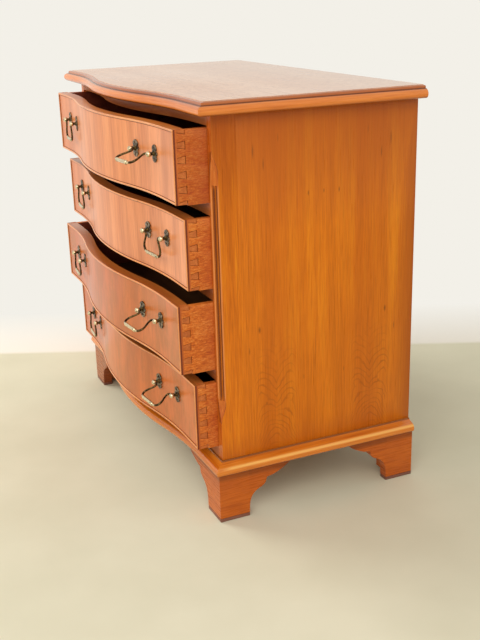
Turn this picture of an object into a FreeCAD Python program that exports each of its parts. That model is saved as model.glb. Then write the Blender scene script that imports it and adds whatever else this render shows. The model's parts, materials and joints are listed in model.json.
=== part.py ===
import FreeCAD, Part
import math
import os

# Serpentine chest of drawers: a case on bracket feet, four long drawers with swan-neck bail pulls.
# Millimetres, +Z up. The front looks towards -Y, and the drawers and bails stand as in the photograph.
# The origin is on the floor under the middle of the whole chest, with its open drawers and raised bails.

# Case: outside width and depth of the carcass, how far its middle stands behind the origin,
# and the heights that stack up from the floor
case_width = 766.0
case_depth = 399.0
case_setback = 61.0
foot_height = 94.0
bottom_rail_height = 45.0
drawer_height = 124.0
drawer_gap = 2.0
rail_thick = 22.0
top_rail_height = 20.0
top_thick = 23.0
drawer_count = 4

# Serpentine front: how far the middle swells, and the straight run at each end between post and curve
bow_rise = 31.0
front_straight = 57.0

# Carcass boards
side_thick = 16.0
post_depth = 45.0
rail_depth = 60.0
bottom_rail_thick = 22.0
bottom_board_thick = 12.0
housing_depth = 5.0
housing_stop = 12.0
back_thick = 6.0
back_rebate = 8.0
runner_width = 30.0
stop_gap = 8.5
stop_length = 30.0
stop_depth = 20.0
stop_height = 6.0
stop_clearance = 0.3

# Canted corner: leg of the chamfer, where it runs full, its lamb's tongues and its two stopped flutes
cant_leg = 10.5
cant_low = 228.0
cant_high = 640.0
tongue_length = 38.0
tongue_step = 0.8
flute_low = 232.0
flute_high = 620.0
flute_radius = 2.1
flute_spacing = 5.4
flute_sides = 6

# Top: overhang of its flat, and the moulded lipping round the front and sides
top_over_side = 11.0
top_over_front = 15.0
top_over_back = 2.0
lip_width = 16.5

# Base moulding and bracket feet
base_mould_height = 24.0
base_mould_out = 20.6
bracket_out = 14.0
bracket_thick = 20.0
bracket_length = 145.0
bracket_toe = 59.0
brace_length = 97.0
pad_thick = 6.0
block_width = 30.0
block_lift = 4.0

# Drawer: box, dovetails and the bead let in round the front
drawer_side_gap = 1.5
drawer_back_gap = 18.0
drawer_front_thick = 20.0
drawer_side_thick = 12.0
drawer_side_drop = 1.0
runner_clearance = 0.3
lap_thick = 5.0
tail_count = 5
tail_wide_share = 0.64
tail_narrow_share = 0.44
drawer_back_thick = 10.0
drawer_back_inset = 8.0
drawer_back_drop = 6.0
drawer_back_housing = 4.0
drawer_bottom_thick = 5.0
drawer_bottom_lift = 8.0
groove_depth = 5.0
bead_width = 4.0
bead_proud = 2.0

# Pulls: places on the drawer front, rosettes, posts, nuts and bails
pull_inset = 130.5
pull_lift = 12.0
pull_spacing = 78.0
rosette_height = 31.0
rosette_width = 24.0
rosette_thick = 2.0
seat_clearance = 0.15
collar_radius = 5.0
collar_thick = 2.5
neck_radius = 2.8
ball_radius = 5.2
ball_standoff = 12.0
nut_width = 9.0
nut_thick = 3.0
eye_radius = 2.1
eye_depth = 3.6
pivot_clearance = 0.3
bail_drop = 36.0
bail_wire = 1.9
bail_grip = 3.5
bail_sides = 5
turned_sides = 8
eye_sides = 6

# How far each drawer is drawn out, and how far its left and right bails are raised, top drawer first
drawer_pulls = (58.0, 44.0, 64.0, 40.0)
bail_angles_left = (0.0, 0.0, 0.0, 0.0)
bail_angles_right = (69.0, 2.0, 64.0, 62.0)

# One overrun for all cuts, and how near two ends of an outline count as one
overrun = 60.0
join_tolerance = 0.0001

# Outlines as shares of the sizes that they follow.
# Bracket foot's inner edge from its toe: run from the corner over bracket_length, height over foot_height.
bracket_edge_shares = (
    (0.407, 0.19), (0.42, 0.32), (0.46, 0.45), (0.52, 0.53), (0.60, 0.59), (0.645, 0.67), (0.657, 0.75),
    (0.75, 0.785), (0.86, 0.85), (0.94, 0.92), (1.0, 1.0),
)
# Mouldings from the inner bottom corner: out over the width, up over the height
lip_shares = (
    (0.0, 0.0), (0.60, 0.0), (0.92, 0.12), (1.0, 0.36), (0.88, 0.64), (0.44, 0.80), (0.44, 0.90),
    (0.0, 0.955),
)
base_mould_shares = (
    (0.0, 0.0), (0.70, 0.0), (0.94, 0.14), (1.0, 0.44), (0.86, 0.70), (0.42, 0.79), (0.14, 0.90), (0.14, 1.0),
    (0.0, 1.0),
)
# Rosette's right half from its top: out over the half width, up over the half height
rosette_edge_shares = (
    (0.0, 1.0), (0.62, 0.80), (0.72, 0.46), (0.56, 0.30), (1.0, 0.0), (0.56, -0.32), (0.74, -0.56),
    (0.0, -1.0),
)
# Ball of a post from neck to nose: out from its centre, and its radius there, over ball_radius
ball_shares = ((-0.82, 0.54), (-0.36, 1.0), (0.36, 1.0), (0.80, 0.66), (1.0, 0.30))
flute_end_share = 0.45
# Eye of a rosette's leaf, over the half width and half height
rosette_eye_shares = ((0.0, 0.84), (0.28, 0.66), (0.0, 0.46), (-0.28, 0.66))
# Half of a bail from its pivot to the middle of its grip:
# along the axis over the half span, down over the drop, and thickness over the wire's radius
bail_path_shares = (
    (0.74, 0.01, 0.95), (0.66, 0.13, 1.00), (0.76, 0.38, 0.95), (0.87, 0.64, 1.00), (0.83, 0.86, 1.05),
    (0.66, 0.98, 1.10),
)
bail_collar_share = 0.47
bail_collar_bulge_share = 1.18
bail_collar_width_share = 0.05

# Places worked out from the sizes above
case_side = case_width / 2
case_front = case_setback - case_depth / 2
case_back = case_setback + case_depth / 2
side_inner = case_side - side_thick
bow_reach = side_inner - front_straight
drawer_bay = drawer_height + 2 * drawer_gap
drawer_pitch = drawer_bay + rail_thick
first_bay = foot_height + bottom_rail_height
top_under = first_bay + drawer_count * drawer_bay + (drawer_count - 1) * rail_thick + top_rail_height
rail_back = case_front + rail_depth
post_back = case_front + post_depth
back_front = case_back - back_thick
bow_radius = (bow_reach ** 2 + bow_rise ** 2) / (4 * bow_rise)
drawer_half = side_inner - drawer_side_gap
drawer_inner = drawer_half - drawer_side_thick
front_low = drawer_gap
front_high = drawer_gap + drawer_height
front_inner = case_front + drawer_front_thick
side_high = front_high - drawer_side_drop
drawer_end = back_front - drawer_back_gap
groove_low = runner_clearance + drawer_bottom_lift
pull_height = drawer_gap + drawer_height / 2 + pull_lift
pull_place = drawer_half - pull_inset
pivot_radius = eye_radius * math.cos(math.pi / eye_sides) - pivot_clearance


def V(x, y, z=0):
    return FreeCAD.Vector(x, y, z)


def box(x0, x1, y0, y1, z0, z1):
    """Block between two corners."""
    return Part.makeBox(x1 - x0, y1 - y0, z1 - z0, V(x0, y0, z0))


def prism(points, along):
    """Closed outline drawn out along a vector."""
    return Part.Face(Part.makePolygon(list(points) + [points[0]])).extrude(along)


def mirrored(shape):
    """The same piece on the other side of the chest."""
    return shape.mirror(V(0, 0), V(1, 0))


def level(bay):
    """Height of the surface under drawer 1 to 4, counted from the top."""
    return first_bay + (drawer_count - bay) * drawer_pitch


def front_edges(out, reach):
    """Serpentine line at a distance out from the case's front, from -reach to reach."""
    hollow = V(bow_reach, case_front - bow_radius)
    crown = V(0, case_front - bow_rise + bow_radius)
    swing = math.asin(bow_reach / (2 * bow_radius))
    flank = bow_radius - out
    turn = hollow + V(-math.sin(swing), math.cos(swing)) * flank
    middle = hollow + V(-math.sin(swing / 2), math.cos(swing / 2)) * flank
    near = V(bow_reach, case_front - out)
    nose = crown + V(0, -(bow_radius + out))

    def left(p):
        return V(-p.x, p.y)

    return [
        Part.LineSegment(V(-reach, near.y), left(near)).toShape(),
        Part.Arc(left(near), left(middle), left(turn)).toShape(),
        Part.Arc(left(turn), nose, turn).toShape(),
        Part.Arc(turn, middle, near).toShape(),
        Part.LineSegment(near, V(reach, near.y)).toShape(),
    ]


def front_band(out, inside, reach, low, high):
    """Curved board between two distances from the case's front, standing from low to high."""
    ahead = case_front - out
    behind = case_front - inside
    edges = front_edges(out, reach) + [Part.LineSegment(V(reach, ahead), V(reach, behind)).toShape()]
    edges += front_edges(inside, reach)
    edges += [Part.LineSegment(V(-reach, behind), V(-reach, ahead)).toShape()]
    board = Part.Face(Part.Wire(Part.__sortEdges__(edges)))
    board.translate(V(0, 0, low))
    return board.extrude(V(0, 0, high - low))


def front_board(out, back, reach, low, high):
    """Board with the serpentine edge in front and a straight back edge."""
    ahead = case_front - out
    edges = front_edges(out, reach)
    edges += [Part.LineSegment(V(reach, ahead), V(reach, back)).toShape()]
    edges += [Part.LineSegment(V(reach, back), V(-reach, back)).toShape()]
    edges += [Part.LineSegment(V(-reach, back), V(-reach, ahead)).toShape()]
    board = Part.Face(Part.Wire(Part.__sortEdges__(edges)))
    board.translate(V(0, 0, low))
    return board.extrude(V(0, 0, high - low))


def front_point(x):
    """Point of the serpentine at x, and the angle by which the front turns there about Z."""
    side = math.copysign(1, x)
    if abs(x) >= bow_reach:
        return V(x, case_front), 0.0
    if abs(x) > bow_reach / 2:
        turn = math.asin((bow_reach - abs(x)) / bow_radius)
        hollow = V(side * bow_reach, case_front - bow_radius)
        return hollow + V(-side * math.sin(turn), math.cos(turn)) * bow_radius, side * turn
    turn = math.asin(x / bow_radius)
    crown = V(0, case_front - bow_rise + bow_radius)
    return crown + V(math.sin(turn), -math.cos(turn)) * bow_radius, turn


def ring(centre, right, up, radius, sides):
    """Regular outline of a turned, fluted or drawn piece, square to its run."""
    points = []
    for number in range(sides):
        angle = 2 * math.pi * (number + 0.5) / sides
        points.append(centre + right * (radius * math.cos(angle)) + up * (radius * math.sin(angle)))
    return points


def faceted(rings):
    """Solid of flat facets through rings of points, closed at both ends."""
    sides = len(rings[0])
    faces = [Part.Face(Part.makePolygon(end + [end[0]])) for end in (rings[0], rings[-1])]
    for here, there in zip(rings, rings[1:]):
        for number in range(sides):
            after = (number + 1) % sides
            for corner, opposite in ((here[after], there[after]), (there[after], there[number])):
                faces.append(Part.Face(Part.makePolygon([here[number], corner, opposite, here[number]])))
    solid = Part.makeSolid(Part.makeShell(faces))
    return solid if solid.Volume > 0 else solid.reversed()


def outline(start, steps, place):
    """Closed wire from start through lines and arcs, closed by a line. place turns a share into a point."""
    here = place(start)
    edges = []
    for via, end in steps:
        there = place(end)
        if via is None:
            edges.append(Part.LineSegment(here, there).toShape())
        else:
            edges.append(Part.Arc(here, place(via), there).toShape())
        here = there
    if here.distanceToPoint(place(start)) > join_tolerance:
        edges.append(Part.LineSegment(here, place(start)).toShape())
    return Part.Wire(edges)


def front_sector(corner_x, corner_y, low, high):
    """Plan area in front of the two mitre lines that run through the front corners."""
    points = [
        V(-corner_x - overrun, corner_y - overrun, low),
        V(corner_x + overrun, corner_y - overrun, low),
        V(corner_x - overrun, corner_y + overrun, low),
        V(-corner_x + overrun, corner_y + overrun, low),
    ]
    return prism(points, V(0, 0, high - low))


def moulding(shares, width, height, over_side, over_front, low, back):
    """Moulded strip round the front and both sides, mitred at the corners: front, right and left piece."""
    corner_x = case_side + over_side
    corner_y = case_front - over_front
    reach = corner_x + width
    path = Part.Wire(front_edges(over_front, reach))

    def on_front(share):
        return V(-reach, corner_y - share[0] * width, low + share[1] * height)

    def on_side(share):
        return V(corner_x + share[0] * width, corner_y - width, low + share[1] * height)

    sector = front_sector(corner_x, corner_y, low - overrun, low + height + overrun)
    section = Part.makePolygon([on_front(share) for share in shares] + [on_front(shares[0])])
    front = path.makePipeShell([section], True, False).common(sector)
    side = prism([on_side(share) for share in shares], V(0, back - corner_y + width, 0)).cut(sector)
    return Part.Compound(front.Solids + side.Solids + mirrored(side).Solids)


def stub_tenon(low, high, back):
    """Right-hand end of a rail or board that is let into the post and the side."""
    return box(side_inner, side_inner + housing_depth, case_front + housing_stop, back, low, high)


def housed_levels():
    """Low edge, high edge and back edge of each board that is let into the sides."""
    boards = [(level(bay) - rail_thick, level(bay), rail_back) for bay in range(1, drawer_count)]
    boards.append((first_bay - bottom_board_thick, first_bay, back_front))
    boards.append((top_under - top_rail_height, top_under, rail_back))
    return boards


def housings():
    """All recesses in the right-hand post and side."""
    cuts = [stub_tenon(*board) for board in housed_levels()]
    return cuts[0].multiFuse(cuts[1:])


def drawer_stops(low):
    """Two blocks glued down behind the ends of a drawer's front, which stop it flush when it is shut."""
    near = front_inner - groove_depth + stop_clearance
    end = drawer_inner - stop_gap
    block = box(end - stop_length, end, near, near + stop_depth, low, low + stop_height)
    return [block, mirrored(block)]


def rail(low, high):
    """Rail across the front with its serpentine edge, stub-tenoned into both posts."""
    board = front_board(0, rail_back, side_inner, low, high)
    tenon = stub_tenon(low, high, rail_back)
    return board.multiFuse([tenon, mirrored(tenon)]).removeSplitter()


def drawer_rail(low, high):
    """Rail under a drawer, with the drawer's stops on it."""
    return rail(low, high).multiFuse(drawer_stops(high))


def bottom_rail():
    """Deep curved rail under the lowest drawer, between the posts."""
    return front_band(0, -bottom_rail_thick, side_inner, foot_height, first_bay)


def bottom_board():
    """Board under the lowest drawer with its stops, let into the sides behind the bottom rail."""
    low = first_bay - bottom_board_thick
    tenon = stub_tenon(low, first_bay, back_front)
    tenon = tenon.cut(box(side_inner, case_side, case_front, case_front + bottom_rail_thick, low, first_bay))
    board = front_board(-bottom_rail_thick, back_front, side_inner, low, first_bay)
    board = board.multiFuse([tenon, mirrored(tenon)]).removeSplitter()
    return board.multiFuse(drawer_stops(first_bay))


def side_panel():
    """Right-hand side, veneered on the outside, rebated for the back."""
    panel = box(side_inner, case_side, post_back, case_back, foot_height, top_under)
    rebate = box(side_inner, side_inner + back_rebate, back_front, case_back, foot_height, top_under)
    return panel.cut(rebate).cut(housings())


def tongue_steps(full, tip):
    """Two tangent arcs that bring the chamfer from its full depth out to the small step at its tip."""
    depth = cant_leg / math.sqrt(2)
    fall = (depth - tongue_step) / 2
    rise = (tip - full) / 2
    radius = (rise ** 2 + fall ** 2) / (2 * fall)
    half = math.asin(abs(rise) / radius) / 2
    lean = radius * (1 - math.cos(half))
    climb = math.copysign(radius * math.sin(half), rise)
    return [
        ((depth - lean, full + climb), (depth - fall, full + rise)),
        ((tongue_step + lean, tip - climb), (tongue_step, tip)),
    ]


def corner_post():
    """Right-hand corner post: canted and fluted between lamb's tongues, square at head and foot."""
    post = box(side_inner, case_side, case_front, post_back, foot_height, top_under)
    depth = cant_leg / math.sqrt(2)
    inward = V(-1, 1).normalize()
    across = V(1, 1).normalize()

    def place(point):
        return V(case_side, case_front) + inward * point[0] + across * -cant_leg + V(0, 0, point[1])

    low_tip = cant_low - tongue_length
    high_tip = cant_high + tongue_length
    steps = [(None, (depth, cant_high))] + tongue_steps(cant_high, high_tip)
    for share, tip in ((-1, high_tip), (-1, low_tip), (1, low_tip)):
        steps.append((None, (share * tongue_step, tip)))
    low_steps = tongue_steps(cant_low, low_tip)
    steps += [(low_steps[1][0], low_steps[0][1]), (low_steps[0][0], (depth, cant_low))]
    chamfer = Part.Face(outline((depth, cant_low), steps, place))
    post = post.cut(chamfer.extrude(across * (2 * cant_leg)))
    face = V(case_side, case_front) + inward * depth
    for shift in (-flute_spacing / 2, flute_spacing / 2):
        centre = face + across * shift
        ends = [(flute_low, flute_radius * flute_end_share), (flute_low + flute_radius, flute_radius),
                (flute_high - flute_radius, flute_radius), (flute_high, flute_radius * flute_end_share)]
        rings = [ring(centre + V(0, 0, z), across, inward, radius, flute_sides) for z, radius in ends]
        post = post.cut(faceted(rings))
    return post.cut(housings())


def back_panel():
    """Thin back let into the rebates of the sides."""
    reach = side_inner + back_rebate
    return box(-reach, reach, back_front, case_back, foot_height, top_under)


def runners():
    """Right-hand strips on the side: one runner behind each rail, and the kicker over the top drawer."""
    strips = []
    for low, high, _ in housed_levels():
        if high != first_bay:
            strips.append(box(side_inner - runner_width, side_inner, rail_back, back_front, low, high))
    return Part.Compound(strips)


def top_panel():
    """Flat of the top, with its front edge on the serpentine."""
    return front_board(top_over_front, case_back + top_over_back, case_side + top_over_side, top_under,
                       top_under + top_thick)


def top_moulding():
    """Moulded lipping round the front and sides of the top."""
    return moulding(lip_shares, lip_width, top_thick, top_over_side, top_over_front, top_under,
                    case_back + top_over_back)


def base_moulding():
    """Moulding planted on the case where it stands on the feet."""
    return moulding(base_mould_shares, base_mould_out, base_mould_height, 0, 0, foot_height, case_back)


def bracket(place, through):
    """Bracket of a foot above its pad, with a straight toe and then the shaped inner edge."""
    pad_share = pad_thick / foot_height
    shares = [(0, pad_share), (bracket_toe / bracket_length, pad_share)] + list(bracket_edge_shares)
    return prism([place(share) for share in shares + [(0, 1)]], through)


def front_foot():
    """Right-hand front foot: side and front brackets mitred at the corner, with a block behind them."""
    corner_x = case_side + bracket_out
    corner_y = case_front - bracket_out
    sector = front_sector(corner_x, corner_y, 0, foot_height)

    def along_side(share):
        return V(corner_x - bracket_thick, corner_y + share[0] * bracket_length, share[1] * foot_height)

    def along_front(share):
        return V(corner_x - share[0] * bracket_length, corner_y - bow_rise, share[1] * foot_height)

    side = bracket(along_side, V(bracket_thick, 0)).cut(sector)
    band = front_band(bracket_out, bracket_out - bracket_thick, corner_x, pad_thick, foot_height)
    front = bracket(along_front, V(0, bow_rise + bracket_length)).common(band).common(sector)
    block_x = corner_x - bracket_thick
    block_y = corner_y + bracket_thick
    block = box(block_x - block_width, block_x, block_y, block_y + block_width,
                pad_thick + block_lift, foot_height)
    return Part.Compound(side.Solids + front.Solids + [block])


def rear_foot():
    """Right-hand rear foot: shaped side bracket, plain brace across the back, and a block behind them."""
    corner_x = case_side + bracket_out
    inner_x = corner_x - bracket_thick
    inner_y = case_back - bracket_thick

    def along_side(share):
        return V(inner_x, case_back - share[0] * bracket_length, share[1] * foot_height)

    side = bracket(along_side, V(bracket_thick, 0))
    brace = prism([V(inner_x, inner_y, pad_thick), V(corner_x - bracket_toe, inner_y, pad_thick),
                   V(corner_x - brace_length, inner_y, foot_height), V(inner_x, inner_y, foot_height)],
                  V(0, bracket_thick, 0))
    block = box(inner_x - block_width, inner_x, inner_y - block_width, inner_y,
                pad_thick + block_lift, foot_height)
    return Part.Compound([side, brace, block])


def foot_pads():
    """Thin dark pad under the brackets of each right-hand foot."""
    outer_x = case_side + bracket_out
    inner_x = outer_x - bracket_thick
    pads = []
    for outer_y, inward in ((case_front - bracket_out, 1), (case_back, -1)):
        points = [V(outer_x, outer_y), V(outer_x, outer_y + inward * bracket_toe),
                  V(inner_x, outer_y + inward * bracket_toe), V(inner_x, outer_y + inward * bracket_thick),
                  V(outer_x - bracket_toe, outer_y + inward * bracket_thick), V(outer_x - bracket_toe, outer_y)]
        pads.append(prism(points, V(0, 0, pad_thick)))
    return Part.Compound(pads)


def both_sides(shape):
    """A right-hand group together with its mirror image."""
    return Part.Compound(shape.Solids + mirrored(shape).Solids)


def drawer_bottom():
    """Thin bottom in the grooves of the sides and the rebate of the curved front."""
    reach = drawer_inner + groove_depth
    end = drawer_end - drawer_back_inset
    return front_board(groove_depth - drawer_front_thick, end, reach,
                       groove_low, groove_low + drawer_bottom_thick)


def drawer_back():
    """Back board of the drawer, housed between the sides and standing on the bottom."""
    reach = drawer_inner + drawer_back_housing
    end = drawer_end - drawer_back_inset
    return box(-reach, reach, end - drawer_back_thick, end, groove_low + drawer_bottom_thick,
               side_high - drawer_back_drop)


def tails():
    """Dovetails at the front end of the right-hand side, as separate prisms."""
    pitch = (side_high - front_low) / tail_count
    tip = case_front + lap_thick
    wide = pitch * tail_wide_share / 2
    narrow = pitch * tail_narrow_share / 2
    solids = []
    for number in range(tail_count):
        middle = front_low + (number + 0.5) * pitch
        points = [V(drawer_inner, tip, middle - wide), V(drawer_inner, front_inner, middle - narrow),
                  V(drawer_inner, front_inner, middle + narrow), V(drawer_inner, tip, middle + wide)]
        solids.append(prism(points, V(drawer_side_thick, 0, 0)))
    return solids


def drawer_side():
    """Right-hand side of the drawer with its dovetails, grooved for the bottom and housed for the back."""
    board = box(drawer_inner, drawer_half, front_inner, drawer_end, runner_clearance, side_high)
    board = board.multiFuse(tails()).removeSplitter()
    return board.cut(drawer_bottom()).cut(drawer_back())


def drawer_front():
    """Serpentine front: raised bead round its edge, sockets for the dovetails, rebate for the bottom."""
    edge = drawer_half - bead_width
    front = front_band(bead_proud, -drawer_front_thick, drawer_half, front_low, front_high)
    field = front_band(overrun, 0, edge, front_low + bead_width, front_high - bead_width)
    sockets = tails()
    rebate = front_band(groove_depth - drawer_front_thick, -drawer_front_thick - overrun,
                        drawer_inner + groove_depth, front_low - overrun, groove_low + drawer_bottom_thick)
    cuts = [field, rebate] + sockets + [mirrored(tail) for tail in sockets]
    return front.cut(cuts)


def pull_seat(x):
    """Place of one post on the drawer front: origin on the surface, -Y straight out of it."""
    point, turn = front_point(x)
    facing = FreeCAD.Rotation(V(0, 0, 1), math.degrees(turn))
    return FreeCAD.Placement(V(point.x, point.y, pull_height), facing)


def pull_seats():
    """The four posts of a drawer, from left to right."""
    half = pull_spacing / 2
    places = (-pull_place - half, -pull_place + half, pull_place - half, pull_place + half)
    return [pull_seat(x) for x in places]


def placed(shape, seat):
    copy = shape.copy()
    copy.Placement = seat.multiply(copy.Placement)
    return copy


def turned(profile, sides):
    """Piece turned about the post's axis, from distances out of the front and the radii there."""
    return faceted([ring(V(0, -out), V(1, 0), V(0, 0, 1), radius, sides) for out, radius in profile])


def rosette():
    """Pierced plate behind a post, with an upper and a lower leaf."""
    half_width = rosette_width / 2
    half_height = rosette_height / 2
    back = -seat_clearance

    def place(share):
        return V(share[0] * half_width, back, share[1] * half_height)

    right = [place(share) for share in rosette_edge_shares]
    left = [V(-p.x, p.y, p.z) for p in right[-2:0:-1]]
    plate = prism(right + left, V(0, -rosette_thick, 0))
    eyes = []
    for flip in (1, -1):
        eye = [place((share[0], flip * share[1])) for share in rosette_eye_shares]
        eyes.append(prism(eye, V(0, -rosette_thick, 0)))
    return plate.cut(eyes)


def post():
    """Post of a pull: collar on the rosette, neck and ball."""
    base = seat_clearance + rosette_thick
    shoulder = base + collar_thick
    profile = [(base, collar_radius), (shoulder, collar_radius), (shoulder, neck_radius)]
    profile += [(ball_standoff + ball_radius * out, ball_radius * radius) for out, radius in ball_shares]
    return turned(profile, turned_sides)


def nut():
    """Square nut that holds a post from inside the drawer."""
    half = nut_width / 2
    near = drawer_front_thick + seat_clearance
    return box(-half, half, near, near + nut_thick, -half, half)


def bail_frame(side):
    """Place of a bail's hinge axis: origin midway between the balls, X along the axis, and half the span."""
    seats = pull_seats()[2:] if side > 0 else pull_seats()[:2]
    centres = [seat.multVec(V(0, -ball_standoff)) for seat in seats]
    span = centres[1] - centres[0]
    turn = math.degrees(math.atan2(span.y, span.x))
    middle = (centres[0] + centres[1]) * 0.5
    return FreeCAD.Placement(middle, FreeCAD.Rotation(V(0, 0, 1), turn)), span.Length / 2


def posts():
    """The four posts of a drawer, with eyes for the pivots of the bails."""
    solids = []
    for side in (-1, 1):
        axis, half_span = bail_frame(side)
        seats = pull_seats()[2:] if side > 0 else pull_seats()[:2]
        for seat, inward in zip(seats, (1, -1)):
            deep = half_span - ball_radius + eye_depth
            points = [V(-inward * deep, 0), V(0, 0)]
            eye = faceted([ring(p, V(0, 1), V(0, 0, 1), eye_radius, eye_sides) for p in points])
            solids.append(placed(post(), seat).cut(placed(eye, axis)))
    return Part.Compound(solids)


def bail(half_span):
    """Swan-neck bail hanging straight down: pivots in the balls, curved arms, and a grip between collars."""
    tip = half_span - ball_radius + eye_depth - pivot_clearance
    stations = [(tip, 0, pivot_radius), (half_span - ball_radius, 0, pivot_radius)]
    stations += [(half_span * s, bail_drop * d, bail_wire * w) for s, d, w in bail_path_shares]
    collar = half_span * bail_collar_share
    width = half_span * bail_collar_width_share
    stations += [(collar + width, bail_drop, bail_wire * bail_path_shares[-1][2]),
                 (collar, bail_drop, bail_grip * bail_collar_bulge_share),
                 (collar - width, bail_drop, bail_grip), (0, bail_drop, bail_grip)]
    right = [V(s, 0, -d) for s, d, _ in stations]
    points = right + [V(-p.x, 0, p.z) for p in right[-2::-1]]
    radii = [w for _, _, w in stations]
    radii = radii + radii[-2::-1]
    rings = []
    for number, (point, radius) in enumerate(zip(points, radii)):
        along = (points[min(number + 1, len(points) - 1)] - points[max(number - 1, 0)]).normalize()
        rings.append(ring(point, V(0, 1), along.cross(V(0, 1)), radius, bail_sides))
    return faceted(rings)


def hung_bail(side, angle):
    """Bail in its posts, raised about its axis by an angle from hanging."""
    axis, half_span = bail_frame(side)
    raised = axis.multiply(FreeCAD.Placement(V(0, 0), FreeCAD.Rotation(V(1, 0, 0), -angle)))
    return placed(bail(half_span), raised)


def case_pieces():
    pieces = {
        "top_panel": top_panel(),
        "top_moulding": top_moulding(),
        "side_panel_right": side_panel(),
        "side_panel_left": mirrored(side_panel()),
        "corner_post_right": corner_post(),
        "corner_post_left": mirrored(corner_post()),
        "back_panel": back_panel(),
        "top_rail": rail(top_under - top_rail_height, top_under),
        "bottom_rail": bottom_rail(),
        "bottom_board": bottom_board(),
        "runners_right": runners(),
        "runners_left": mirrored(runners()),
        "base_moulding": base_moulding(),
        "front_foot_right": front_foot(),
        "front_foot_left": mirrored(front_foot()),
        "rear_feet": both_sides(rear_foot()),
        "foot_pads": both_sides(foot_pads()),
    }
    for bay in range(1, drawer_count):
        pieces["drawer_rail_%d" % bay] = drawer_rail(level(bay) - rail_thick, level(bay))
    return pieces


def drawer_pieces():
    """One shut drawer with its lower surface at height zero."""
    side = drawer_side()
    return {
        "front": drawer_front(),
        "side_right": side,
        "side_left": mirrored(side),
        "back": drawer_back(),
        "bottom": drawer_bottom(),
        "rosettes": Part.Compound([placed(rosette(), seat) for seat in pull_seats()]),
        "posts": posts(),
        "nuts": Part.Compound([placed(nut(), seat) for seat in pull_seats()]),
    }


def chest():
    pieces = case_pieces()
    drawer = drawer_pieces()
    for bay in range(1, drawer_count + 1):
        shift = V(0, -drawer_pulls[bay - 1], level(bay))
        group = {"drawer_%d_%s" % (bay, name): shape for name, shape in drawer.items()}
        group["bail_%d_left" % bay] = hung_bail(-1, bail_angles_left[bay - 1])
        group["bail_%d_right" % bay] = hung_bail(1, bail_angles_right[bay - 1])
        for name, shape in group.items():
            pieces[name] = placed(shape, FreeCAD.Placement(shift, FreeCAD.Rotation()))
    return pieces


os.makedirs("parts", exist_ok=True)
for name, shape in chest().items():
    shape.exportStep("parts/" + name + ".step")
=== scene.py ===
import contextlib
import json
import math

import bmesh
import bpy
from mathutils import Matrix, Vector

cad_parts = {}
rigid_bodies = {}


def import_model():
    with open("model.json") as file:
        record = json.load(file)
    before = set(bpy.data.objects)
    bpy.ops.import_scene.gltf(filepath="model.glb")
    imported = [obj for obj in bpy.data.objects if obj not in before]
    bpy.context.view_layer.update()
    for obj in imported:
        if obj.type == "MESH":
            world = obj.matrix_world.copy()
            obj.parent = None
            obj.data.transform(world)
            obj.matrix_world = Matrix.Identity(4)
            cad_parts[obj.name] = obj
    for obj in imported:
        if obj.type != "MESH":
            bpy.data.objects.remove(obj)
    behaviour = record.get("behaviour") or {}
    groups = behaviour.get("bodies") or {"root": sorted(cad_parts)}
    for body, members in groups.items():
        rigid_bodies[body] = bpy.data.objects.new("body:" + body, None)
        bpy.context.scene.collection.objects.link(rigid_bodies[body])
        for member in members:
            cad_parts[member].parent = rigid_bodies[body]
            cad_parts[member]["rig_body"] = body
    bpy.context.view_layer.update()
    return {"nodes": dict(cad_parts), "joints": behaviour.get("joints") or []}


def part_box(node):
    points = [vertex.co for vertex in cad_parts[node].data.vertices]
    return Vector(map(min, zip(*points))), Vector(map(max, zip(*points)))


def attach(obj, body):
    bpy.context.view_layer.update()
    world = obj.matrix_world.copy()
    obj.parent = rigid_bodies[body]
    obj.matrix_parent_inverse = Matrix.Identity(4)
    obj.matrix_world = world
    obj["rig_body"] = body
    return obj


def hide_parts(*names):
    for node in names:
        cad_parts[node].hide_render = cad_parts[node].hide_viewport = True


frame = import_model()

# Carcass boards: the two sides, the back and the runners.
# The sides are veneered board with the figure upright, in two leaves that mirror each other, under satin
# lacquer. The rest is plain sawn wood that nobody was meant to see.
mm = 0.001


def box_of(node):
    """Low and high corner of a node's box, in millimetres."""
    return [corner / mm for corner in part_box(node)]


side_low, side_high = box_of("side_panel_right")
case_side = side_high.x
case_back = side_high.y
post_back = side_low.y
case_front = box_of("corner_post_right")[0].y
board_ease = 0.6


def linear(code):
    """Colour of a written hex value, with full alpha."""
    shares = [int(code[start:start + 2], 16) / 255 for start in (1, 3, 5)]
    return [s / 12.92 if s <= 0.04045 else ((s + 0.055) / 1.055) ** 2.4 for s in shares] + [1.0]


def add_node(tree, kind, inputs=None, stops=None, **settings):
    """Node of a kind, with its settings, its inputs as values or links, and its ramp's stops."""
    node = tree.nodes.new(kind)
    for name, value in settings.items():
        setattr(node, name, value)
    for socket, value in (inputs or {}).items():
        if isinstance(value, bpy.types.NodeSocket):
            tree.links.new(value, node.inputs[socket])
        else:
            node.inputs[socket].default_value = value
    if stops:
        elements = node.color_ramp.elements
        while len(elements) < len(stops):
            elements.new(1.0)
        for element, (place, code) in zip(elements, stops):
            element.position = place
            element.color = linear(code)
    return node


def new_surface(name, coordinates="Object"):
    """New material, its node tree, its Principled shader and its place in millimetres."""
    material = bpy.data.materials.new(name)
    material.use_nodes = True
    tree = material.node_tree
    place = add_node(tree, "ShaderNodeTexCoord").outputs[coordinates]
    millimetres = add_node(tree, "ShaderNodeMapping", {"Vector": place, "Scale": (1 / mm,) * 3}).outputs[0]
    return material, tree, tree.nodes["Principled BSDF"], millimetres


def faded(tree, value, clear, full, most, within=None):
    """Strength that grows from nothing at one value to the most at another, within another strength if given."""
    strength = add_node(tree, "ShaderNodeMapRange", {
        "Value": value, "From Min": clear, "From Max": full, "To Min": 0.0, "To Max": most}).outputs[0]
    if within is None:
        return strength
    return add_node(tree, "ShaderNodeMath", {0: strength, 1: within}, operation="MULTIPLY").outputs[0]


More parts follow.
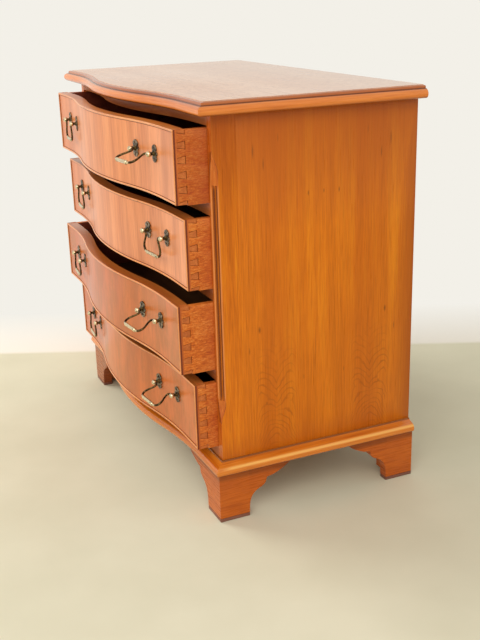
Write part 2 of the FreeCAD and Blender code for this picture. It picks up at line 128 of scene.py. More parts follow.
def away_from(tree, value, middle):
    """How far a value lies from a middle, to either side."""
    offset = add_node(tree, "ShaderNodeMath", {0: value, 1: middle}, operation="SUBTRACT").outputs[0]
    return add_node(tree, "ShaderNodeMath", {0: offset}, operation="ABSOLUTE").outputs[0]


def layered(tree, value, stops, layers):
    """Colour that a value runs through, with other colours laid over it in turn, each by its strength."""
    colour = add_node(tree, "ShaderNodeValToRGB", {"Fac": value}, stops=stops).outputs["Color"]
    for strength, code in layers:
        colour = add_node(tree, "ShaderNodeMix", {
            "Factor": strength, "A": colour, "B": linear(code)}, data_type="RGBA").outputs[2]
    return colour


# Colour laid into hollows and creases by how deep they fold
hollow_colour = "#4A1E0C"


def wood(name, shades, along, coordinates="Object", streak_width=5.0, streak_share=0.45, pore_width=1.6,
         pore_depth=0.30, shine=0.30, coat=0.5, polish=0.5, layers=(), hollow_dark=0.55, drawn_out=24):
    """Stained and lacquered wood: broad bands, streaks and pores drawn out along the grain.

    Each of the layers is a function that gives the strength of its colour. Hollows are darker, and arrises are
    rubbed lighter. Real pores are 0.1 to 0.3 mm wide: they are drawn 1.6 mm wide, because finer ones don't show.
    """
    material, tree, surface, millimetres = new_surface(name, coordinates)
    drawn = [1 / drawn_out if axis in along else 1.0 for axis in "XYZ"]
    grain = add_node(tree, "ShaderNodeMapping", {"Vector": millimetres, "Scale": drawn}).outputs[0]
    bands = add_node(tree, "ShaderNodeTexNoise", {
        "Vector": grain, "Scale": 1 / (8 * streak_width), "Detail": 2.0, "Roughness": 0.5})
    streaks = add_node(tree, "ShaderNodeTexNoise", {
        "Vector": grain, "Scale": 1 / streak_width, "Detail": 4.0, "Roughness": 0.6, "Distortion": 0.3})
    pores = add_node(tree, "ShaderNodeTexNoise", {
        "Vector": grain, "Scale": 1 / pore_width, "Detail": 2.0, "Roughness": 0.6})
    blend = add_node(tree, "ShaderNodeMix", {
        "Factor": streak_share, "A": bands.outputs["Fac"], "B": streaks.outputs["Fac"]})
    dark, middle, light = shades
    edge = add_node(tree, "ShaderNodeNewGeometry").outputs["Pointiness"]
    over = [(faded(tree, pores.outputs["Fac"], 0.46, 0.30, pore_depth), dark)]
    over += [(strength(tree, millimetres), code) for strength, code in layers]
    over += [(faded(tree, edge, 0.50, 0.40, hollow_dark), hollow_colour), (faded(tree, edge, 0.52, 0.62, 0.30), light)]
    colour = layered(tree, blend.outputs[0], ((0.36, dark), (0.50, middle), (0.64, light)), over)
    tree.links.new(colour, surface.inputs["Base Color"])
    rubbed = add_node(tree, "ShaderNodeMapRange", {
        "Value": streaks.outputs["Fac"], "From Min": 0.3, "From Max": 0.7,
        "To Min": shine * 0.88, "To Max": shine * 1.12})
    tree.links.new(rubbed.outputs[0], surface.inputs["Roughness"])
    relief = add_node(tree, "ShaderNodeBump", {
        "Height": pores.outputs["Fac"], "Strength": 0.10, "Distance": 0.15 * mm})
    tree.links.new(relief.outputs[0], surface.inputs["Normal"])
    surface.inputs["IOR"].default_value = 1.50
    surface.inputs["Specular IOR Level"].default_value = polish
    surface.inputs["Coat Weight"].default_value = coat
    surface.inputs["Coat Roughness"].default_value = 0.20
    return material


def finish_piece(thing, material, slot, body, nodes, angle=32):
    """Shading, material and frame of a finished mesh whose place is in its points."""
    thing.data.shade_smooth()
    thing.data.set_sharp_from_angle(angle=math.radians(angle))
    if material:
        thing.data.materials.clear()
        thing.data.materials.append(material)
    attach(thing, body)
    if nodes:
        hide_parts(*nodes)
    return thing


def new_object(name, mesh):
    """New object of a mesh, a curve, a light or a camera."""
    thing = bpy.data.objects.new(name, mesh)
    bpy.context.scene.collection.objects.link(thing)
    return thing


@contextlib.contextmanager
def edited(mesh):
    """The mesh opened for editing, and written back afterwards."""
    work = bmesh.new()
    work.from_mesh(mesh)
    yield work
    work.to_mesh(mesh)
    work.free()


def eased_board(node, material, slot, ease=board_ease):
    """Flat-sided board as built, with its arrises taken off."""
    mesh = frame["nodes"][node].data.copy()
    with edited(mesh) as work:
        bmesh.ops.remove_doubles(work, verts=work.verts, dist=0.01 * mm)
        bmesh.ops.dissolve_limit(work, angle_limit=math.radians(1), verts=work.verts, edges=work.edges)
        edges = [e for e in work.edges if e.is_manifold and e.calc_face_angle() > math.radians(25)]
        bmesh.ops.bevel(work, geom=edges, offset=ease * mm, segments=2, profile=0.5, affect="EDGES",
                        clamp_overlap=True)
    return finish_piece(new_object(node + "_finish", mesh), material, slot, frame["nodes"][node]["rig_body"], [node])


# Where the two leaves of side veneer meet, and the middle of the arched figure out from there
leaf_joint = 70.5
arch_middle = 98.0
arch_peak = 30.0
arch_sway = 46.0
arch_foot = side_low.z + 42.0
# How gently the rings fall away: beside a single peak, outside two peaks and between them
arch_falls = (30.0, 8.0, 40.0)
# Heights between which a single peak parts in two, heights and widths between which the arches fade in
arch_parting = (arch_foot + 20, arch_foot + 85)
arch_top = (arch_foot + 215, arch_foot + 110)
arch_width = (52.0, 30.0)
# Rings are counted from a height upwards, farther apart the higher they are
ring_start = arch_foot - 40
ring_widening = 0.72
ring_count = 2.5
# Pin knots and flecks: out from the joint, height, half width, half height, strength
leaf_marks = (
    (129.5, 355.0, 3.0, 8.0, 0.80), (0.0, 591.0, 1.8, 5.0, 0.70), (30.5, 590.0, 2.0, 6.0, 0.75),
    (135.0, 671.0, 2.0, 15.0, 0.70), (116.0, 648.0, 2.0, 13.0, 0.65), (88.0, 690.0, 1.6, 10.0, 0.45),
    (150.0, 318.0, 1.8, 9.0, 0.55), (118.0, 212.0, 2.4, 4.0, 0.50), (42.0, 250.0, 1.6, 7.0, 0.45),
)


def leaf_place(tree, millimetres):
    """Place on a leaf: out from the joint, which mirrors the figure, and up."""
    split = add_node(tree, "ShaderNodeSeparateXYZ", {"Vector": millimetres})
    out = away_from(tree, split.outputs["Y"], leaf_joint)
    place = add_node(tree, "ShaderNodeCombineXYZ", {"X": out, "Y": split.outputs["Z"]})
    return out, split.outputs["Z"], place.outputs[0]


def cathedral_arches(tree, millimetres):
    """Nested arches of flat-cut veneer: single ones near the foot, that part into two peaks higher up."""
    out, height, place = leaf_place(tree, millimetres)
    wander = add_node(tree, "ShaderNodeTexNoise", {"Vector": place, "Scale": 1 / 45, "Detail": 3.0})
    broken = add_node(tree, "ShaderNodeTexNoise", {
        "Vector": place, "Scale": 1 / 34, "Detail": 3.0, "Roughness": 0.6})
    aside = away_from(tree, out, arch_middle)
    from_peak = add_node(tree, "ShaderNodeMath", {0: aside, 1: arch_peak}, operation="SUBTRACT").outputs[0]
    outside, inside = (add_node(tree, "ShaderNodeMath", {0: from_peak, 1: 0.0}, operation=kept).outputs[0]
                       for kept in ("MAXIMUM", "MINIMUM"))
    drops = []
    for distance, fall in zip((aside, outside, inside), arch_falls):
        bowed = add_node(tree, "ShaderNodeMath", {0: distance, 1: distance}, operation="MULTIPLY")
        drops.append(add_node(tree, "ShaderNodeMath", {0: bowed.outputs[0], 1: fall}, operation="DIVIDE").outputs[0])
    peaks = add_node(tree, "ShaderNodeMath", {0: drops[1], 1: drops[2]}, operation="ADD").outputs[0]
    parted = faded(tree, height, *arch_parting, 1.0)
    drop = add_node(tree, "ShaderNodeMix", {"Factor": parted, "A": drops[0], "B": peaks}).outputs[0]
    raised = add_node(tree, "ShaderNodeMath", {0: height, 1: drop}, operation="ADD").outputs[0]
    ring = add_node(tree, "ShaderNodeMath", {0: wander.outputs["Fac"], 1: arch_sway, 2: raised},
                    operation="MULTIPLY_ADD").outputs[0]
    for operation, amount in (("SUBTRACT", ring_start), ("POWER", ring_widening), ("MULTIPLY", ring_count),
                              ("SINE", 0.0)):
        ring = add_node(tree, "ShaderNodeMath", {0: ring, 1: amount}, operation=operation).outputs[0]
    crest = faded(tree, ring, 0.55, 1.0, 0.68, within=faded(tree, broken.outputs["Fac"], 0.30, 0.62, 1.0))
    low = faded(tree, height, *arch_top, 1.0, within=crest)
    return faded(tree, aside, *arch_width, 1.0, within=low)


def knots(tree, millimetres):
    """Pin knots and short dark flecks."""
    _, _, place = leaf_place(tree, millimetres)
    total = 0.0
    for out, up, half_width, half_height, strength in leaf_marks:
        near = add_node(tree, "ShaderNodeMapping", {
            "Vector": place, "Location": (-out / half_width, -up / half_height, 0.0),
            "Scale": (1 / half_width, 1 / half_height, 0.0)})
        length = add_node(tree, "ShaderNodeVectorMath", {0: near.outputs[0]}, operation="LENGTH")
        mark = faded(tree, length.outputs["Value"], 1.0, 0.2, strength)
        total = add_node(tree, "ShaderNodeMath", {0: total, 1: mark}, operation="MAXIMUM").outputs[0]
    return total


def redder_leaf_middles(tree, millimetres):
    """Redder wood in the middle of each leaf, and golden wood at the joint and between."""
    out, _, _ = leaf_place(tree, millimetres)
    return faded(tree, away_from(tree, out, arch_middle - 10), 62.0, 10.0, 0.42)


def by_place(axis, clear, full, most, crest=None, within=None):
    """Layer that grows along an axis of the chest from one place to another, or away from a crest, in mm."""
    def strength(tree, millimetres):
        place = add_node(tree, "ShaderNodeTexCoord").outputs["Object"]
        value = add_node(tree, "ShaderNodeSeparateXYZ", {"Vector": place}).outputs[axis]
        if crest is not None:
            value = away_from(tree, value, crest * mm)
        return faded(tree, value, clear * mm, full * mm, most, within and within(tree, millimetres))
    return strength


def figure(stretch, size, clear, full, most, detail=3.0, roughness=0.6, within=None):
    """Layer where clouds of a size in mm, drawn out along the grain, are thick."""
    def strength(tree, millimetres):
        drawn = add_node(tree, "ShaderNodeMapping", {"Vector": millimetres, "Scale": stretch})
        cloud = add_node(tree, "ShaderNodeTexNoise", {
            "Vector": drawn.outputs[0], "Scale": 1 / size, "Detail": detail, "Roughness": roughness})
        return faded(tree, cloud.outputs["Fac"], clear, full, most, within and within(tree, millimetres))
    return strength


def strongest(*layers):
    """Layer that is as strong as the strongest of some others."""
    def strength(tree, millimetres):
        most = 0.0
        for layer in layers:
            most = add_node(tree, "ShaderNodeMath", {0: most, 1: layer(tree, millimetres)},
                            operation="MAXIMUM").outputs[0]
        return most
    return strength


# Darker towards the back edge and the foot of the side, and darker towards its head, partly painted shadow of the top
# moulding
side_edges_and_head_shade = strongest(by_place("Y", case_back - 42, case_back, 0.80),
                         by_place("Z", side_high.z - 210, side_high.z - 10, 0.72),
                         by_place("Z", side_low.z + 70, side_low.z + 20, 0.45))
# Fine upright dark lines of a veneer, 2 mm apart
fine_lines = figure((1.0, 1.0, 0.03), 2.0, 0.50, 0.68, 0.35, detail=2.0)
# Cherry-coloured veneer: gives upright golden and red bands with fine dark lines, mirrored arches and pin knots
side_veneer = wood("side_veneer_upright", ("#C2640A", "#DA750E", "#E88A16"), "Z", streak_width=2.6,
                   streak_share=0.5, coat=0.12, polish=0.2,
                   layers=((redder_leaf_middles, "#B8520A"), (cathedral_arches, "#9A4608"),
                           (side_edges_and_head_shade, "#9A400C"), (fine_lines, "#9A4A08"), (knots, "#5A2A0C")))
# Sawn wood: gives a dull, dusty brown where only the maker looked
sawn_wood = wood("sawn_carcass_wood", ("#8A5A32", "#A87447", "#BE8C5C"), "X", streak_width=9.0, shine=0.7,
                 coat=0.0)
for side in ("right", "left"):
    eased_board("side_panel_" + side, side_veneer, "side_veneer")
    eased_board("runners_" + side, sawn_wood, "carcass_board")
eased_board("back_panel", sawn_wood, "back_board")

# Rails: four curved boards across the front, the deep one under the lowest drawer and the board behind that.
# Each is sawn to the serpentine, two hollow arcs and a swelling one of the same radius, straight at both ends.
# The rails are faced with the same wood as the drawer fronts and housed in the posts. The board is plain.
rail_low, rail_high = box_of("top_rail")
bottom_low, bottom_high = box_of("bottom_rail")
rail_thick = 22.0
side_inner = bottom_high.x
front_straight = 57.0
bow_rise = case_front - rail_low.y
bow_reach = side_inner - front_straight
bow_radius = (bow_reach ** 2 + bow_rise ** 2) / (4 * bow_rise)


def front_at(x):
    """Point of the serpentine at x, and the way that it faces there."""
    if abs(x) >= bow_reach:
        return Vector((x, case_front)), Vector((0, -1))
    if abs(x) > bow_reach / 2:
        side = math.copysign(1, x)
        turn = math.asin((bow_reach - abs(x)) / bow_radius)
        hollow = Vector((side * bow_reach, case_front - bow_radius))
        facing = Vector((side * math.sin(turn), -math.cos(turn)))
        return hollow - facing * bow_radius, facing
    turn = math.asin(x / bow_radius)
    facing = Vector((math.sin(turn), -math.cos(turn)))
    return Vector((0, case_front - bow_rise + bow_radius)) + facing * bow_radius, facing


def run_places(reach, spacing=9.0):
    """Places across the front from -reach to reach, close together where it curves."""
    count = 2 * round(bow_reach / spacing)
    curve = [-bow_reach + 2 * bow_reach * number / count for number in range(count + 1)]
    return [-reach] + curve + [reach] if reach > bow_reach else curve


def loft(rings, closed=True):
    """Shell through rings of points. Each corner's UV is its way along the run and round the section."""
    points = [Vector(p) for ring in rings for p in ring]
    size = len(rings[0])
    along = [0.0]
    for here, there in zip(rings, rings[1:]):
        step = sum((Vector(a) - Vector(b)).length for a, b in zip(here, there)) / size
        along.append(along[-1] + step)
    around = [0.0]
    widest = max(rings, key=lambda ring: sum((Vector(a) - Vector(b)).length for a, b in zip(ring, ring[1:])))
    for here, there in zip(widest, widest[1:] + widest[:1]):
        around.append(around[-1] + (Vector(here) - Vector(there)).length)
    faces = []
    for row in range(len(rings) - 1):
        for column in range(size):
            after = (column + 1) % size
            corners = (row * size + column, row * size + after, (row + 1) * size + after, (row + 1) * size + column)
            uvs = ((along[row], around[column]), (along[row], around[column + 1]),
                   (along[row + 1], around[column + 1]), (along[row + 1], around[column]))
            faces.append((corners, uvs))
    if closed:
        for row in (0, len(rings) - 1):
            corners = [row * size + column for column in range(size)]
            start = Vector(rings[row][0])
            uvs = [(along[row] + (Vector(p) - start).z, (Vector(p) - start).xy.length) for p in rings[row]]
            faces.append((corners, uvs))
    return points, faces


def mesh_of(name, shells, run=True):
    """Mesh of closed shells, with its faces turned outwards and, for a run, the UV map of its corners."""
    work = bmesh.new()
    layer = work.loops.layers.uv.new("run") if run else None
    for points, faces in shells:
        verts = [work.verts.new(p * mm) for p in points]
        for corners, uvs in faces:
            face = work.faces.new([verts[c] for c in corners])
            for loop, uv in zip(face.loops, uvs if run else ()):
                loop[layer].uv = (uv[0] * mm, uv[1] * mm)
    bmesh.ops.remove_doubles(work, verts=work.verts, dist=0.001 * mm)
    bmesh.ops.recalc_face_normals(work, faces=work.faces)
    mesh = bpy.data.meshes.new(name)
    work.to_mesh(mesh)
    work.free()
    return mesh


def build_piece(node, shells, material, slot, angle=32):
    """One piece from closed shells in millimetres, which takes the place of a node."""
    thing = new_object(node + "_finish", mesh_of(node + "_finish", shells))
    return finish_piece(thing, material, slot, frame["nodes"][node]["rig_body"], [node], angle)


def curved_board(reach, low, high, back=None, deep=0.0, out=0.0, ease=0.8):
    """Board with an eased serpentine edge in front, and a straight back or else one equally deep all along."""
    rings = []
    for x in run_places(reach):
        point, facing = front_at(x)
        rear = point - facing * deep if back is None else Vector((x, back))
        edge = [(out - ease, low), (out - ease * 0.3, low + ease * 0.3), (out, low + ease),
                (out, high - ease), (out - ease * 0.3, high - ease * 0.3), (out - ease, high)]
        front = [(*(point + facing * o), z) for o, z in edge]
        rings.append(front + [(rear.x, rear.y, high), (rear.x, rear.y, low)])
    return loft(rings)


def block(low, high, ease=0.6):
    """Small block with its upright arrises taken off."""
    outline = [(low.x + ease, low.y), (high.x - ease, low.y), (high.x, low.y + ease), (high.x, high.y - ease),
               (high.x - ease, high.y), (low.x + ease, high.y), (low.x, high.y - ease), (low.x, low.y + ease)]
    return loft([[(x, y, z) for x, y in outline] for z in (low.z, high.z)])


stop_length = 30.0
stop_end = 345.0
stop_front = 15.3
stop_depth = 20.0
stop_height = 6.0


def stops(level):
    """Two blocks on a rail that stop the drawer's front."""
    low = Vector((stop_end - stop_length, case_front + stop_front, level))
    high = Vector((stop_end, case_front + stop_front + stop_depth, level + stop_height))
    return [block(low, high), block(Vector((-high.x, low.y, low.z)), Vector((-low.x, high.y, high.z)))]


# Rail wood: gives level streaks in a red-brown, painted darker than the drawer fronts for the shade that the rails sit
# in
rail_shade_wood = wood("rail_wood_polished", ("#803C18", "#A05426", "#B86C36"), "X", shine=0.42, coat=0.0, polish=0.2)
for node in ("top_rail", "drawer_rail_1", "drawer_rail_2", "drawer_rail_3"):
    low, high = box_of(node)
    top = rail_high.z if node == "top_rail" else low.z + rail_thick
    shells = [curved_board(side_inner, low.z, top, back=high.y)] + ([] if node == "top_rail" else stops(top))
    build_piece(node, shells, rail_shade_wood, "rails")
build_piece("bottom_rail", [curved_board(side_inner, bottom_low.z, bottom_high.z, deep=rail_thick)], rail_shade_wood,
            "rails")
board_low, board_high = box_of("bottom_board")
bottom_board = curved_board(side_inner, board_low.z, bottom_high.z, back=board_high.y, out=-rail_thick)
build_piece("bottom_board", [bottom_board] + stops(bottom_high.z), sawn_wood, "carcass_board")

# Corner posts: solid posts with the outer corner taken off at 45 degrees between two lamb's tongues.
# Two flutes are run down the cant with a round-nosed cutter and stop short of the tongues.
post_width = 16.0
cant_leg = 10.5
cant_half = cant_leg / math.sqrt(2)
cant_margin = 0.4
plain_cant = 0.28
cant_low, cant_high = 228.0, 640.0
tongue_length = 38.0
tongue_step = 0.8
flute_low, flute_high = 232.0, 620.0
flute_radius = 2.1
flute_spacing = 5.4
flute_fade = 9.0
# Painted shade in the flutes, more where they are deeper, and darker edges on the tongues. Painted highlight on the
# cant between and beside the flutes.
flute_shade = 0.68
flute_shade_deep = 0.20
tongue_edge_dark = 0.8
tongue_edge_dark_from = 0.88
arris_highlight = 0.7


def cant_depth(z):
    """How deep the cant is at a height: full between the tongues, an ogee out to a small step, then an arris."""
    past = max(cant_low - z, z - cant_high, 0.0) / tongue_length
    if past > 1.0:
        return plain_cant
    swing = (1 - math.cos(math.pi * past)) / 2
    return cant_half + (tongue_step - cant_half) * swing


def flute_depth(across, z):
    """Depth of the two flutes at a place across the cant."""
    end = min(z - flute_low, flute_high - z)
    if end <= 0:
        return 0.0
    radius = flute_radius * min(1.0, math.sqrt(max(0.0, 1 - (1 - min(end / flute_radius, 1.0)) ** 2)))
    reach = abs(abs(across) - flute_spacing / 2)
    return math.sqrt(radius ** 2 - reach ** 2) if reach < radius else 0.0


def post_section(z):
    """Outline of the right-hand post at a height, with the cant and the flutes."""
    depth = cant_depth(z)
    corner = Vector((case_side, case_front))
    inward = Vector((-1, 1)).normalized()
    across_way = Vector((1, 1)).normalized()
    cant = []
    for share in ((number - 20) / 20 for number in range(41)):
        shift = flute_depth(share * cant_half, z) if depth >= cant_half - 0.01 else 0.0
        cant.append(corner + inward * (depth + shift) + across_way * (share * depth))
    inner = case_side - post_width
    return [Vector((inner, case_front)), Vector((inner + 1.0, case_front))] + cant + [
        Vector((case_side, cant[-1].y + 0.8)), Vector((case_side, post_back - 1.0)), Vector((case_side, post_back)),
        Vector((inner, post_back))]


post_levels = [side_low.z, side_low.z + 1.0, cant_low - tongue_length - 1.0, cant_low - tongue_length - 0.1]
post_levels += [cant_low - tongue_length * (1 - number / 12) for number in range(13)]
post_levels += [flute_low + flute_radius * share for share in (0.0, 0.05, 0.2, 0.5, 1.0)]
post_levels += [flute_low + flute_fade] + [flute_low + (flute_high - flute_low) * number / 8 for number in range(1, 8)]
post_levels.append(flute_high - flute_fade)
post_levels += [flute_high - flute_radius * share for share in (1.0, 0.5, 0.2, 0.05, 0.0)]
post_levels += [cant_high + tongue_length * number / 12 for number in range(13)]
post_levels += [cant_high + tongue_length + 0.1, cant_high + tongue_length + 1.0, side_high.z - 1.0, side_high.z]
post_rings = [[(p.x, p.y, z) for p in post_section(z)] for z in post_levels]


def held_by_points(name):
    """Layer whose strength each point of the mesh holds."""
    return lambda tree, _: add_node(tree, "ShaderNodeAttribute", attribute_name=name).outputs["Fac"]


def keep_in_points(mesh, name, values, kind="FLOAT", key="value"):
    """Give each point of a mesh its value, for a material or a node tree to read."""
    mesh.attributes.new(name, kind, "POINT").data.foreach_set(key, values)


def cant_shade_and_highlight(across, z):
    """How much painted shade a place on the cant gets, and how much painted highlight."""
    beside = abs(across) - flute_spacing / 2 - flute_radius
    if flute_low < z < flute_high:
        faint = min(1.0, (flute_high - z) / flute_fade, (z - flute_low) / flute_fade)
        if beside < 0:
            return (flute_shade + flute_shade_deep * flute_depth(across, z) / flute_radius) * faint, 0.0
        return 0.0, arris_highlight * faint
    depth = cant_depth(z)
    tongue = cant_low - tongue_length < z < cant_high + tongue_length and not cant_low < z < cant_high
    return (tongue_edge_dark if tongue and abs(across) > tongue_edge_dark_from * depth else 0.0), 0.0


# Post wood: gives upright grain, painted shade in the flutes and painted highlights on the cant between them
post_wood = wood("corner_post_wood", ("#9C440C", "#C25E14", "#D87C28"), "Z", shine=0.26, coat=0.2, polish=0.3,
                 hollow_dark=0.95, layers=((held_by_points("hollow"), "#6A2C0A"), (held_by_points("arris"), "#E08C4C")))
for side, way in (("right", 1), ("left", -1)):
    post = build_piece("corner_post_" + side, [loft([[(way * x, y, z) for x, y, z in ring] for ring in post_rings])],
                       post_wood, "corner_posts", angle=24)
    kept = []
    for vert in post.data.vertices:
        x, y, z = vert.co / mm
        on_cant = y < case_front + cant_leg + cant_margin and way * x > case_side - cant_leg - cant_margin
        kept.append(cant_shade_and_highlight((way * x - case_side + y - case_front) / math.sqrt(2), z) if on_cant else (0.0, 0.0))
    for name, shares in zip(("hollow", "arris"), zip(*kept)):
        keep_in_points(post.data, name, shares)
    post.data.materials.append(side_veneer)
    for face in post.data.polygons:
        if way * face.normal.x > 0.95:
            face.material_index = 1

# Top: a veneered board with a fine burr figure, inside a moulded lipping of solid wood.
# The lipping is a large round below a quirk and a small round, mitred at the two front corners.
top_low, top_high = box_of("top_panel")
top_over_side = top_high.x - case_side
top_over_front = case_front - bow_rise - top_low.y


def arc(centre_x, centre_z, across, up, start, end, count=12):
    """Points of a part of an ellipse, by its angles in degrees."""
    points = []
    for number in range(count + 1):
        angle = math.radians(start + (end - start) * number / count)
        points.append((centre_x + across * math.cos(angle), centre_z + up * math.sin(angle)))
    return points


first_length = 30.0


def moulding(profile, over_side, over_front, low, back):
    """Three lengths of a moulded strip, mitred at the front corners: front, right and left."""
    corner_x = case_side + over_side
    corner_y = case_front - over_front
    rings = []
    for x in run_places(corner_x):
        point, facing = front_at(x)
        if abs(x) == corner_x:
            facing = Vector((math.copysign(1, x), -1))
            rings.append([(x + facing.x * o, corner_y - o, low + z) for o, z in profile])
        else:
            rings.append([(*(point + facing * (over_front + o)), low + z) for o, z in profile])
    right = [[(corner_x + o, corner_y - o, low + z) for o, z in profile]]
    right += [[(corner_x + o, y, low + z) for o, z in profile] for y in (corner_y + first_length, back)]
    left = [[(-x, y, z) for x, y, z in ring] for ring in right]
    return [loft(rings), loft(right), loft(left)]


# Section of the lipping: out from the edge of the board, and up from its underside
lip_profile = [(0.0, 0.0)] + arc(9.9, 7.9, 6.6, 7.9, -90, 74, 16)
lip_profile += [(10.6, 16.4), (7.9, 17.0), (7.7, 17.6)] + arc(4.3, 18.3, 3.5, 3.6, 0, 90, 7) + [(0.0, 21.9)]


def burr_curls(tree, millimetres):
    """Curls and eyes of a burr, 7 to 26 mm across, thicker in some places than in others."""
    coarse = add_node(tree, "ShaderNodeTexNoise", {
        "Vector": millimetres, "Scale": 1 / 26, "Detail": 4.0, "Roughness": 0.65, "Distortion": 2.2})
    fine = add_node(tree, "ShaderNodeTexNoise", {
        "Vector": millimetres, "Scale": 1 / 8, "Detail": 3.0, "Roughness": 0.6, "Distortion": 3.0})
    mixed = add_node(tree, "ShaderNodeMath", {0: coarse.outputs["Fac"], 1: fine.outputs["Fac"]},
                     operation="MULTIPLY")
    return faded(tree, mixed.outputs[0], 0.21, 0.33, 0.60)


# Darker on the small upper round of the lipping, and painted shade under its large round
darker_ridge = by_place("Z", top_low.z + 16.0, top_low.z + 17.4, 0.65)
lipping_under_shade = by_place("Z", top_low.z + 4.0, top_low.z + 0.5, 0.75)
# Painted shade, nearly black, in the quirk between the two rounds
lipping_quirk_shade = by_place("Z", 1.3, 0.5, 0.70, crest=top_low.z + 16.7)
# Burr veneer: gives the pale pinkish top its fine swirling figure under a good shine
burr_veneer = wood("top_burr_veneer", ("#CA8E68", "#DEAA84", "#E8BC9C"), "X", streak_width=11.0,
                   layers=((burr_curls, "#A4643E"),), shine=0.30, coat=0.8)
# Lipping wood: gives grain that runs with each length, light rounds, a darker small round, and painted shade in the
# quirk and under the large round
lipping_wood = wood("lipping_wood_polished", ("#BC5C16", "#DC7A28", "#EE9242"), "X", coordinates="UV",
                    streak_width=3.5, shine=0.22, coat=0.4, polish=0.4, hollow_dark=0.9,
                    layers=((darker_ridge, "#8C4020"), (lipping_under_shade, "#6E3008"), (lipping_quirk_shade, "#3A1608")))
top_board = curved_board(case_side + top_over_side, top_low.z, top_high.z, back=top_high.y, out=top_over_front,
                         ease=0.4)
build_piece("top_panel", [top_board], burr_veneer, "top_veneer")
build_piece("top_moulding", moulding(lip_profile, top_over_side, top_over_front, top_low.z, top_high.y),
            lipping_wood, "moulding", angle=26)

# Base moulding: a broad sloping face that runs down into a round nose, planted on the foot of the case.
# It is solid wood, run in three lengths and mitred like the lipping.
base_low = box_of("base_moulding")[0]
# Section of the moulding: out from the face of the case, and up from its underside
base_profile = [(0.0, 0.0)] + arc(14.0, 8.6, 6.6, 8.6, -90, 62, 14) + [
    (15.6, 16.9), (9.6, 18.6), (5.2, 20.4), (3.1, 21.5), (2.9, 22.2), (2.9, 23.6), (2.5, 24.0), (0.0, 24.0)]
# Dark line where the moulding meets the case, and painted shade under the nose
base_quirk = by_place("Z", base_low.z + 20.8, base_low.z + 22.8, 0.92)
base_under_shade = by_place("Z", base_low.z + 4.0, base_low.z + 0.6, 0.85)
# Painted highlight in a golden colour on the crown of the nose along the sides
base_nose_highlight = by_place("Z", 3.0, 0.8, 0.95, crest=base_low.z + 14.2,
                  within=by_place("Y", case_front - 10, case_front + 10, 0.9))
# Moulding wood: gives grain that runs with each length, a painted highlight on the round nose, painted shade under it
# and a dark line where it meets the case
moulding_wood = wood("moulding_wood_polished", ("#B85810", "#D8781C", "#EC9436"), "X", coordinates="UV",
                     streak_width=3.5, shine=0.22, coat=0.35, polish=0.4, hollow_dark=0.9,
                     layers=((base_quirk, "#54200A"), (base_nose_highlight, "#F8BE5E"), (base_under_shade, "#602A0A")))
build_piece("base_moulding", moulding(base_profile, 0.0, 0.0, base_low.z, case_back), moulding_wood, "moulding",
            angle=26)

# Bracket feet: shaped boards with their grain level, mitred at the front corners, on thin dark pads.
# The rear feet have the shaped board on the side only, and a plain brace across the back.
foot_low, foot_high = box_of("front_foot_right")
pad_thick = foot_low.z
foot_height = foot_high.z
bracket_out = foot_high.x - case_side
bracket_thick = 20.0
bracket_length = foot_high.x - foot_low.x
bracket_toe = 59.0
brace_length = 97.0
block_width = 30.0
block_lift = 4.0
foot_ease = 0.9
# Lower edge of a bracket beyond its toe: run over bracket_length, height over foot_height
bracket_edge_shares = (
    (0.407, 0.07), (0.408, 0.19), (0.42, 0.32), (0.455, 0.44), (0.52, 0.53), (0.585, 0.575), (0.63, 0.63),
    (0.648, 0.70), (0.66, 0.752), (0.70, 0.765), (0.76, 0.785), (0.85, 0.845), (0.93, 0.915), (1.0, 1.0),
)


def smooth_line(points, steps=4):
    """Points of a curve that runs through the given ones."""
    ends = [points[0]] + list(points) + [points[-1]]
    line = []
    for a, b, c, d in zip(ends, ends[1:], ends[2:], ends[3:]):
        for number in range(steps):
            t = number / steps
            line.append(tuple(0.5 * (2 * q + (r - p) * t + (2 * p - 5 * q + 4 * r - s) * t ** 2
                                     + (3 * q - p - 3 * r + s) * t ** 3) for p, q, r, s in zip(a, b, c, d)))
    return line + [tuple(points[-1])]


def bracket_stations():
    """Runs from the corner and the height of the bracket's lower edge there."""
    edge = smooth_line(bracket_edge_shares)
    return [(share * bracket_length, min(height, 0.999) * foot_height) for share, height in edge]


def bracket(place, mitred):
    """Bracket as a shell. place turns a run, a depth behind the face and a height into a point."""
    toe = [(run, pad_thick) for run in (0.0, bracket_thick + 2, bracket_toe - 0.5)]
    rings = []
    for run, low in toe + bracket_stations():
        ring = []
        for depth, z in ((0.0, low + foot_ease), (foot_ease, low), (bracket_thick, low), (bracket_thick, foot_height),
                         (0.0, foot_height)):
            start = depth if mitred and run == 0.0 else 0.0
            ring.append(place(run + start, depth, min(z, foot_height)))
        rings.append(ring)
    return loft(rings)


foot_x = case_side + bracket_out
foot_y = case_front - bracket_out


def along_side(run, depth, z):
    """Place on the bracket at the side of the right front foot."""
    return (foot_x - depth, foot_y + run, z)


def along_front(run, depth, z):
    """Place on the bracket at the front of the right front foot, which follows the serpentine."""
    point, facing = front_at(foot_x - run)
    place = point + facing * (bracket_out - depth)
    return (foot_x - run if foot_x - run > bow_reach else place.x, place.y, z)


def along_rear_side(run, depth, z):
    """Place on the bracket of the right rear foot."""
    return (foot_x - depth, case_back - run, z)


def mirrored(shells):
    """The same shells on the left. Their faces are turned outwards when the piece is built."""
    return [([Vector((-p.x, p.y, p.z)) for p in points], faces) for points, faces in shells]


# Painted shadow close under the base moulding, and a dark line at the joint with the pad
moulding_shadow_and_pad_line = strongest(by_place("Z", foot_height - 15.0, foot_height - 8.0, 0.85),
                        by_place("Z", pad_thick + 2.6, pad_thick + 0.8, 0.75))
# Stain that took unevenly, in clouds 40 mm across, and painted shade on the feet of the left side
cloudy_stain = figure((1.0, 1.0, 1.0), 40, 0.45, 0.62, 0.30)
left_feet_shade = by_place("X", -300.0, -310.0, 0.7)
